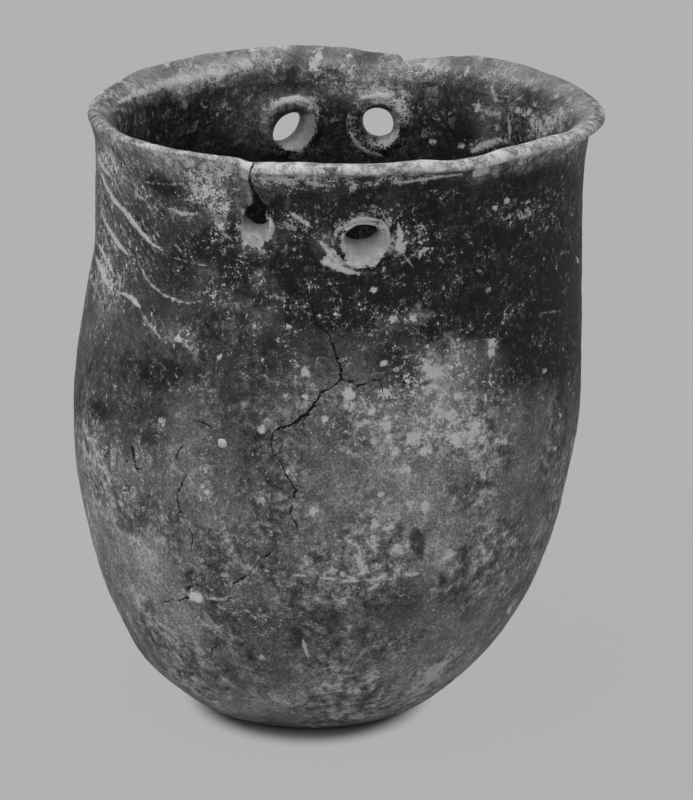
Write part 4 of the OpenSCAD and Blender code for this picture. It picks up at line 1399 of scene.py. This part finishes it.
def floor_material():
    """A pale floor that keeps the shadow round the pot's foot and stays even away from it."""
    finish = bpy.context.scene.beaker_finish
    foot = bpy.context.scene.beaker_shape.foot_radius
    material, maker, shader, vector = new_material("floor")
    shader.inputs["Base Color"].default_value = opaque(finish.floor)
    shader.inputs["Roughness"].default_value = 0.9
    shader.inputs["Specular IOR Level"].default_value = 0.0
    shift = (0.8 * MM, 0.0, 0.0)
    shifted = maker.add("ShaderNodeVectorMath", {0: vector, 1: shift}, operation="ADD").outputs[0]
    reach = maker.scaled_vector(shifted, (1.2, 0.95, 1.0))
    away = maker.add("ShaderNodeVectorMath", {0: reach}, operation="LENGTH").outputs["Value"]
    even = maker.math("MULTIPLY", maker.step(away, 1.15 * foot, 1.5 * foot), 0.97)
    glow = maker.add("ShaderNodeEmission", {"Color": opaque(finish.floor)})
    both = maker.add("ShaderNodeMixShader", {
        0: maker.math("MULTIPLY", even, seen_directly(maker)), 1: shader.outputs[0], 2: glow.outputs[0]
    })
    maker.feed(material.node_tree.nodes["Material Output"].inputs["Surface"], both.outputs[0])
    return material


def material_once(name, build, *values):
    """A material by name, built the first time it is asked for."""
    return bpy.data.materials.get(name) or build(*values)


def body_clay():
    """The clay of the base and the wall."""
    return material_once("fired_clay", clay_material, "fired_clay", 1.3 * MM, 0.6)


def lip_clay():
    """The clay of the lip, with its lime in larger patches."""
    return material_once("fired_lip", clay_material, "fired_lip", 1.9 * MM, 0.62)


def ring_mesh(name, bottom, top, bottom_rise, top_rise):
    """A ring of the wall between two slanting joins, as a closed grid."""
    shape = bpy.context.scene.beaker_shape
    surface = bpy.context.scene.beaker_surface
    outer = row_heights(bottom, top, surface.outer_row)
    inner = row_heights(top + top_rise, bottom + bottom_rise, surface.inner_row)
    radius = np.concatenate([outer_radius(shape, outer), inner_radius(shape, inner)])
    height = np.concatenate([outer, inner])
    angles = column_angles()
    points = pot_points(shape, radius[:, None], angles[None, :], height[:, None]).reshape(-1, 3)
    return mesh_from(name, points, grid_quads(len(height), len(angles), True))


def base_mesh(name):
    """The base, closed at the middle of its foot and of its floor."""
    shape = bpy.context.scene.beaker_shape
    share = np.linspace(0, 1, BASE_OUTER_ROWS)
    outer = shape.base_join * share ** 2
    share = np.linspace(1, 0, BASE_INNER_ROWS)
    inner = shape.floor_thickness + (shape.base_join + shape.join_rise - shape.floor_thickness) * share ** 2
    foot = np.linspace(0, shape.foot_radius, FLAT_ROWS)[1:-1]
    well = np.linspace(shape.well_radius, 0, FLAT_ROWS)[1:-1]
    radius = np.concatenate([foot, outer_radius(shape, outer), inner_radius(shape, inner), well])
    height = np.concatenate([
        np.zeros(len(foot)), outer, inner, np.full(len(well), shape.floor_thickness)
    ])
    angles = column_angles()
    grid = pot_points(shape, radius[:, None], angles[None, :], height[:, None]).reshape(-1, 3)
    poles = pot_points(shape, np.zeros(2), np.zeros(2), np.array([0, shape.floor_thickness]))
    points = np.concatenate([grid, poles])
    column = np.arange(len(angles))
    after = (column + 1) % len(angles)
    last = (len(height) - 1) * len(angles)
    low_pole = np.full(len(angles), len(grid))
    under = np.stack([low_pole, after, column], axis=-1)
    above = np.stack([low_pole + 1, last + column, last + after], axis=-1)
    quads = grid_quads(len(height), len(angles), False)
    return mesh_from(name, points, quads, np.concatenate([under, above]))


def lip_mesh(name):
    """The uneven lip, rolled outwards over a shallow groove on one side."""
    shape = bpy.context.scene.beaker_shape
    angles = column_angles()
    degrees = np.degrees(angles)
    shoulder, edge_out, crest, thickness, rounding = lip_edges(shape, angles)
    foot = band_top(shape)
    inner_foot = foot + shape.lip_join_rise
    root_out = outer_radius(shape, np.float64(foot))
    root_in = inner_radius(shape, np.float64(inner_foot))
    neck_slope = 2 * shape.neck_flare / (shape.neck_drop - shape.lip_depth)
    share = np.linspace(0, 1, LIP_OUTER_ROWS)[:-1, None]
    height = foot + (shoulder - foot) * share
    radius = root_out + (edge_out - root_out) * share ** round_values(LIP_POWERS, degrees)
    radius = radius + neck_slope * (height - foot) * (1 - share) ** 2
    below = (shoulder - height) / MM
    groove = round_values(LIP_GROOVES, degrees) * MM * bell(below, 1.5, 0.75)
    radius = radius - groove * smooth(share, 0, 0.2)
    turn = np.linspace(0, np.pi / 2, LIP_TOP_ROWS)[:, None]
    top_radius = crest + (edge_out - crest) * np.cos(turn)
    top_height = shoulder + rounding * np.sin(turn)
    share = np.linspace(0, 1, LIP_INNER_ROWS)[1:, None]
    peak = shoulder + rounding
    pulls = (1 - share) ** 3, 3 * share * (1 - share) ** 2, 3 * share ** 2 * (1 - share), share ** 3
    inner_radii = pulls[0] * crest + pulls[1] * (crest - 0.45 * thickness)
    inner_radii = inner_radii + (pulls[2] + pulls[3]) * root_in
    inner_heights = (pulls[0] + pulls[1]) * peak + pulls[2] * (inner_foot + 2.5 * MM)
    inner_heights = inner_heights + pulls[3] * inner_foot
    radius = np.concatenate([radius, top_radius, inner_radii])
    height = np.concatenate([height, top_height, inner_heights])
    points = pot_points(shape, radius, angles[None, :], height).reshape(-1, 3)
    return mesh_from(name, points, grid_quads(len(radius), len(angles), True))


def hole_axes(hole):
    """Middle of a hole on the pot's axis, and its directions along the wall and outwards."""
    shape = bpy.context.scene.beaker_shape
    angle = math.radians(hole.angle)
    height = shape.rim_height - hole.drop * MM
    middle = np.array([shape.drift_share * height, 0, height])
    along = np.array([math.cos(angle), math.sin(angle), 0])
    outward = np.array([math.sin(angle), -math.cos(angle), 0])
    return middle, along, outward


def at_hole(hole, x, y, out):
    """Points at places along the wall, up and outwards from the pot's axis at a hole."""
    middle, along, outward = hole_axes(hole)
    up = np.array([0, 0, 1.0])
    return middle + x[..., None] * along + y[..., None] * up + out[..., None] * outward


def wall_reach(hole, x, y, radius_of):
    """How far out the wall's surface is from the pot's axis, at places round a hole."""
    shape = bpy.context.scene.beaker_shape
    middle, along, outward = hole_axes(hole)
    side = x - shape.drift_share * y * along[0]
    return shape.drift_share * y * outward[0] + np.sqrt(radius_of(shape, middle[2] + y) ** 2 - side ** 2)


def hole_radius(hole):
    """Outside radius of the wall at the height of a hole."""
    shape = bpy.context.scene.beaker_shape
    return outer_radius(shape, np.float64(shape.rim_height - hole.drop * MM))


def crack_cutter():
    """A ragged block in the shape of the open crack, right through the wall."""
    shape = bpy.context.scene.beaker_shape
    hole = HOLES["front_left_collar"]
    course = np.array(OPEN_CRACK) * MM
    rise = np.linspace(course[0, 1], course[-1, 1], 60)
    middle = np.interp(rise, course[:, 1], course[:, 0])
    half = np.interp(rise, course[:, 1], course[:, 2])
    draw = np.random.default_rng(7)
    ragged = draw.normal(0, 0.1 * MM, (2, len(rise)))
    sides = np.stack([middle - half + ragged[0], middle + half + ragged[1]])
    near = hole_radius(hole) - shape.wall - CUT_START * MM
    depths = np.array([near, near + shape.wall + CRACK_CUT_EXTRA * MM])
    corners = []
    for side, depth in ((0, 1), (1, 1), (1, 0), (0, 0)):
        corners.append(at_hole(hole, sides[side], rise, np.full(len(rise), depths[depth])))
    points = np.stack(corners, axis=1).reshape(-1, 3)
    quads = grid_quads(len(rise), 4, False)
    last = 4 * (len(rise) - 1)
    caps = np.array([[0, 3, 2, 1], [last, last + 1, last + 2, last + 3]])
    return new_object("crack_cutter", mesh_from("crack_cutter", points, np.concatenate([quads, caps])))


def seat_cutter(name, hole):
    """A round block in the shape of a collar's seat, right through the wall."""
    shape = bpy.context.scene.beaker_shape
    turn = np.linspace(0, 2 * np.pi, 64, endpoint=False)
    x, y = SEAT_RADIUS * MM * np.cos(turn), SEAT_RADIUS * MM * np.sin(turn)
    near = hole_radius(hole) - shape.wall - CUT_START * MM
    far = near + shape.wall + SEAT_CUT_EXTRA * MM
    inner = at_hole(hole, x, y, np.full(len(turn), near))
    outer = at_hole(hole, x, y, np.full(len(turn), far))
    ends = at_hole(hole, np.zeros(2), np.zeros(2), np.array([near, far]))
    points = np.concatenate([inner, outer, ends])
    column = np.arange(len(turn))
    after = (column + 1) % len(turn)
    count = len(turn)
    fans = np.concatenate([
        np.stack([np.full(count, 2 * count), after, column], axis=-1),
        np.stack([np.full(count, 2 * count + 1), count + column, count + after], axis=-1),
    ])
    return new_object(name, mesh_from(name, points, grid_quads(2, count, False), fans))


def wavering(turn, seed, waves, depth):
    """A smooth random wave round a hole, of about the given depth."""
    draw = np.random.default_rng(seed)
    value = np.zeros_like(turn)
    for wave in range(2, waves):
        value = value + draw.normal(0, 1) / wave ** 0.7 * np.cos(wave * turn + draw.uniform(0, 2 * np.pi))
    return depth * value / 2


def loop_round(middle, half, squareness, lean, turn):
    """A rounded, somewhat square loop round a hole, whose first half size leans by an angle in degrees."""
    lean = math.radians(lean)
    power = 2 / squareness
    cosine, sine = np.cos(turn - lean), np.sin(turn - lean)
    first = half[0] * np.sign(cosine) * np.abs(cosine) ** power
    second = half[1] * np.sign(sine) * np.abs(sine) ** power
    x = middle[0] + first * math.cos(lean) - second * math.sin(lean)
    y = middle[1] + first * math.sin(lean) + second * math.cos(lean)
    return x * MM, y * MM


def collar_side(hole, turn, radius_of, sign, mouth, crest_share, seed):
    """Rows of a collar on one side of the wall, from under its ragged edge to the end of its throat, with
    the share of funnel and the depth in it of each row, which sets the painted shade towards the throat."""
    shape = bpy.context.scene.beaker_shape
    edge = hole.ring * MM + wavering(turn, seed, 18, 0.7 * MM)
    crest = shape.collar_proud * np.clip(crest_share + wavering(turn, seed + 1, 14, 0.35), 0.02, 1)
    mouth_x, mouth_y = loop_round(*mouth, hole.squareness, 0, turn)
    waver = 1 + wavering(turn, seed + 2, 15, 0.05)
    mouth_x, mouth_y = mouth_x * waver, mouth_y * waver
    throat_x, throat_y = loop_round(hole.throat_middle, hole.throat_half, 2.0, hole.lean, turn)
    waver = 1 + wavering(turn, hole.seed + 5, 9, 0.04)
    throat_x, throat_y = throat_x * waver, throat_y * waver
    edge_x, edge_y = edge * np.cos(turn), edge * np.sin(turn)
    neck = COLLAR_NECK * MM
    rows = [(neck * np.cos(turn), neck * np.sin(turn), np.full(len(turn), -0.9 * MM)),
            (edge_x, edge_y, np.full(len(turn), -0.8 * MM))]
    shares = [0, 0]
    deep = [0, 0]
    for share in np.linspace(0, 1, 21):
        x = edge_x + (mouth_x - edge_x) * share
        y = edge_y + (mouth_y - edge_y) * share
        rise = math.sin(math.pi * (0.6 * share + 0.01)) ** 0.8
        rows.append((x, y, -0.25 * MM + (crest + 0.25 * MM) * rise))
        shares.append(0.8 * float(smooth(share, 0.6, 1)))
        deep.append(0)
    placed = [(x, y, wall_reach(hole, x, y, radius_of) + sign * proud) for x, y, proud in rows]
    mouth_out = placed[-1][2]
    centre = hole_radius(hole) - shape.wall / 2
    throat_out = centre + sign * shape.bore_length / 2
    for share in np.linspace(1, 0, 25)[1:]:
        spread = share ** FUNNEL_POWER
        x = throat_x + (mouth_x - throat_x) * spread
        y = throat_y + (mouth_y - throat_y) * spread
        placed.append((x, y, throat_out + (mouth_out - throat_out) * share))
        shares.append(1.3)
        deep.append(1 - spread)
    return placed, shares, deep


def collar_mesh(name, hole):
    """A collar round a hole, with its share of pale funnel and the depth in it at each point. Inside the
    pot the pale funnel is painted light on the lit side, and the depth sets the painted shade towards the
    throat.
    """
    turn = np.linspace(0, 2 * np.pi, 220, endpoint=False)
    mouth = hole.outer_middle, hole.outer_half
    outer, outer_share, outer_deep = collar_side(
        hole, turn, outer_radius, 1, mouth, hole.outer_crest, hole.seed
    )
    mouth = hole.inner_middle, hole.inner_half
    inner, inner_share, inner_deep = collar_side(
        hole, turn, inner_radius, -1, mouth, hole.inner_crest, hole.seed + 100
    )
    rows = outer + inner[::-1]
    points = np.concatenate([at_hole(hole, x, y, out) for x, y, out in rows])
    mesh = mesh_from(name, points, grid_quads(len(rows), len(turn), True))
    # Painted light: the inner funnel is pale only on its lit side, and crusted clay elsewhere
    toward = np.cos(turn - math.radians(hole.pale_side)) + wavering(turn, hole.seed + 7, 12, 0.25)
    pale = smooth(toward, 0.1, 0.6) * hole.pale_share
    funnel = np.concatenate([np.outer(outer_share, np.ones(len(turn))), np.outer(inner_share[::-1], pale)])
    # Painted shade: the inner funnels are shaded at least this much, deep in the pot
    shaded = [max(share, INNER_SHADE) for share in inner_deep]
    store_marks(mesh, {"funnel": funnel.ravel(), "deep": np.repeat(outer_deep + shaded[::-1], len(turn))})
    return mesh


class BEAKER_OT_base(bpy.types.Operator):
    """Makes the pinched base"""

    bl_idname = "beaker.base"
    bl_label = "Base"

    def execute(self, context):
        piece = new_object("pinched_base", base_mesh("pinched_base"))
        work_clay(piece, body_clay())
        hand_over(piece, "base_pat")
        return {"FINISHED"}


class BEAKER_OT_wall_rings(bpy.types.Operator):
    """Makes the plain rings of the wall"""

    bl_idname = "beaker.wall_rings"
    bl_label = "Wall Rings"

    def execute(self, context):
        shape = context.scene.beaker_shape
        joins = np.linspace(shape.base_join, band_top(shape) - shape.band_height, WALL_COILS + 1)
        for index in range(WALL_COILS):
            name = f"wall_ring_{index + 1}"
            mesh = ring_mesh(name, joins[index], joins[index + 1], shape.join_rise, shape.join_rise)
            piece = new_object(name, mesh)
            work_clay(piece, body_clay())
            hand_over(piece, f"wall_coil_{index + 1}")
        return {"FINISHED"}


class BEAKER_OT_pierced_ring(bpy.types.Operator):
    """Makes the pierced ring under the lip"""

    bl_idname = "beaker.pierced_ring"
    bl_label = "Pierced Ring"

    def execute(self, context):
        shape = context.scene.beaker_shape
        top = band_top(shape)
        mesh = ring_mesh("pierced_ring", top - shape.band_height, top, shape.join_rise, shape.lip_join_rise)
        piece = new_object("pierced_ring", mesh)
        cutters = [seat_cutter(f"seat_{name}", hole) for name, hole in HOLES.items()]
        cut_away(piece, *cutters, crack_cutter())
        work_clay(piece, body_clay())
        hand_over(piece, "pierced_coil")
        return {"FINISHED"}


class BEAKER_OT_lip(bpy.types.Operator):
    """Makes the uneven lip, split by the open crack"""

    bl_idname = "beaker.lip"
    bl_label = "Lip"

    def execute(self, context):
        piece = new_object("rolled_lip", lip_mesh("rolled_lip"))
        cut_away(piece, crack_cutter())
        work_clay(piece, lip_clay(), 0.7)
        hand_over(piece, "rim_coil")
        return {"FINISHED"}


class BEAKER_OT_collars(bpy.types.Operator):
    """Makes the four collars of the cord holes"""

    bl_idname = "beaker.collars"
    bl_label = "Collars"

    def execute(self, context):
        material = material_once("fired_collar", collar_material)
        for name, hole in HOLES.items():
            mesh = collar_mesh(name.replace("collar", "ring"), hole)
            piece = new_object(mesh.name, mesh)
            if name == "front_left_collar":
                cut_away(piece, crack_cutter())
            work_clay(piece, material, 1.4)
            hand_over(piece, name)
        return {"FINISHED"}


def noise_at(points, size, seed):
    """Smooth noise between about -1 and 1 at points."""
    shift = Vector((seed * 3.7, seed * 1.3, seed * 2.1))
    return np.array([noise.noise(Vector(point) / size + shift) for point in points])


def lump_points(lump):
    """Points and faces of one squarish, uneven lump, set in the wall."""
    ball = bmesh.new()
    bmesh.ops.create_icosphere(ball, subdivisions=4, radius=1)
    unit = np.array([vertex.co for vertex in ball.verts])
    faces = np.array([[vertex.index for vertex in face.verts] for face in ball.faces])
    ball.free()
    power = lump.squareness
    unit = unit / ((np.abs(unit) ** power).sum(axis=1) ** (1 / power))[:, None]
    uneven = 1 + 0.16 * noise_at(unit, 0.7, lump.seed) + 0.07 * noise_at(unit, 0.3, lump.seed + 1)
    local = unit * uneven[:, None] * np.array(lump.half_sizes) * MM
    point, angle = wall_point(lump.x, lump.y)
    along = np.array([math.cos(angle), math.sin(angle), 0])
    outward = np.array([math.sin(angle), -math.cos(angle), 0])
    sunk = point - outward * (lump.half_sizes[2] - 0.25) * MM
    points = sunk + local[:, :1] * along + local[:, 1:2] * np.array([0, 0, 1.0]) + local[:, 2:] * outward
    return points, faces


class BEAKER_OT_lime_lumps(bpy.types.Operator):
    """Makes the lumps of lime that show in the wall"""

    bl_idname = "beaker.lime_lumps"
    bl_label = "Lime Lumps"

    def execute(self, context):
        points, faces, count = [], [], 0
        for lump in LIME_LUMPS:
            lump_vertices, lump_faces = lump_points(lump)
            points.append(lump_vertices)
            faces.append(lump_faces + count)
            count += len(lump_vertices)
        no_quads = np.empty((0, 4), int)
        mesh = mesh_from("lime_lumps", np.concatenate(points), no_quads, np.concatenate(faces))
        piece = new_object("lime_lumps", mesh)
        piece.data.materials.append(material_once("chalky_lime", lime_material))
        hand_over(piece, "lime_grits")
        return {"FINISHED"}


class BEAKER_OT_stage(bpy.types.Operator):
    """Makes the floor, the light and the camera"""

    bl_idname = "beaker.stage"
    bl_label = "Stage"

    def execute(self, context):
        scene = context.scene
        stage = scene.beaker_stage
        corners = FLOOR_REACH * np.array([[-1, -1, 0], [1, -1, 0], [1, 1, 0], [-1, 1, 0]])
        floor = new_object("floor", mesh_from("floor", corners, np.array([[0, 1, 2, 3]])))
        floor.data.materials.append(floor_material())

        world = bpy.data.worlds.new("even_light")
        world.use_nodes = True
        maker = NodeMaker(world.node_tree)
        background = world.node_tree.nodes["Background"]
        shown = seen_directly(maker)
        direction = maker.add("ShaderNodeTexCoord").outputs["Generated"]
        upward = maker.add("ShaderNodeSeparateXYZ", {0: direction}).outputs["Z"]
        overhead = maker.step(upward, 0.0, 0.8, stage.horizon * stage.sky, stage.sky)
        maker.feed(background.inputs["Strength"], maker.blend(shown, overhead, 1.0))
        maker.feed(background.inputs["Color"], maker.mix(
            shown, (1, 1, 1, 1), opaque(scene.beaker_finish.floor)))
        scene.world = world

        lamp = bpy.data.lights.new("soft_lamp", "SUN")
        lamp.energy = stage.sun
        lamp.angle = stage.sun_size
        lamp_object = bpy.data.objects.new("soft_lamp", lamp)
        scene.collection.objects.link(lamp_object)
        lamp_object.rotation_euler = Vector(stage.sun_travel).to_track_quat("-Z", "Y").to_euler()

        camera = bpy.data.cameras.new("camera")
        camera.lens = stage.lens
        camera.sensor_width = SENSOR
        camera_object = bpy.data.objects.new("camera", camera)
        scene.collection.objects.link(camera_object)
        place, forward, _ = camera_axes(stage)
        camera_object.location = place
        camera_object.rotation_euler = Vector(forward).to_track_quat("-Z", "Y").to_euler()
        scene.camera = camera_object
        scene.view_settings.view_transform = "Standard"
        return {"FINISHED"}


class BEAKER_PT_panel(bpy.types.Panel):
    """Lists the beaker's sizes, colours and steps"""

    bl_idname = "BEAKER_PT_panel"
    bl_label = "Clay Beaker"
    bl_space_type = "VIEW_3D"
    bl_region_type = "UI"
    bl_category = "Beaker"

    def draw(self, context):
        scene = context.scene
        for group in (scene.beaker_shape, scene.beaker_surface, scene.beaker_finish, scene.beaker_stage):
            box = self.layout.box()
            for key in group.__annotations__:
                box.prop(group, key)
        for operator in OPERATORS:
            self.layout.operator(operator.bl_idname)


GROUPS = (BeakerShape, BeakerSurface, BeakerFinish, BeakerStage)
OPERATORS = (
    BEAKER_OT_base, BEAKER_OT_wall_rings, BEAKER_OT_pierced_ring, BEAKER_OT_lip, BEAKER_OT_collars,
    BEAKER_OT_lime_lumps, BEAKER_OT_stage,
)


def register():
    for cls in (*GROUPS, *OPERATORS, BEAKER_PT_panel):
        bpy.utils.register_class(cls)
    bpy.types.Scene.beaker_shape = PointerProperty(type=BeakerShape)
    bpy.types.Scene.beaker_surface = PointerProperty(type=BeakerSurface)
    bpy.types.Scene.beaker_finish = PointerProperty(type=BeakerFinish)
    bpy.types.Scene.beaker_stage = PointerProperty(type=BeakerStage)


def unregister():
    del bpy.types.Scene.beaker_stage
    del bpy.types.Scene.beaker_finish
    del bpy.types.Scene.beaker_surface
    del bpy.types.Scene.beaker_shape
    for cls in reversed((*GROUPS, *OPERATORS, BEAKER_PT_panel)):
        bpy.utils.unregister_class(cls)


def main():
    register()
    bpy.ops.beaker.stage()
    bpy.ops.beaker.base()
    bpy.ops.beaker.wall_rings()
    bpy.ops.beaker.pierced_ring()
    bpy.ops.beaker.lip()
    bpy.ops.beaker.collars()
    bpy.ops.beaker.lime_lumps()


if __name__ == "__main__":
    main()
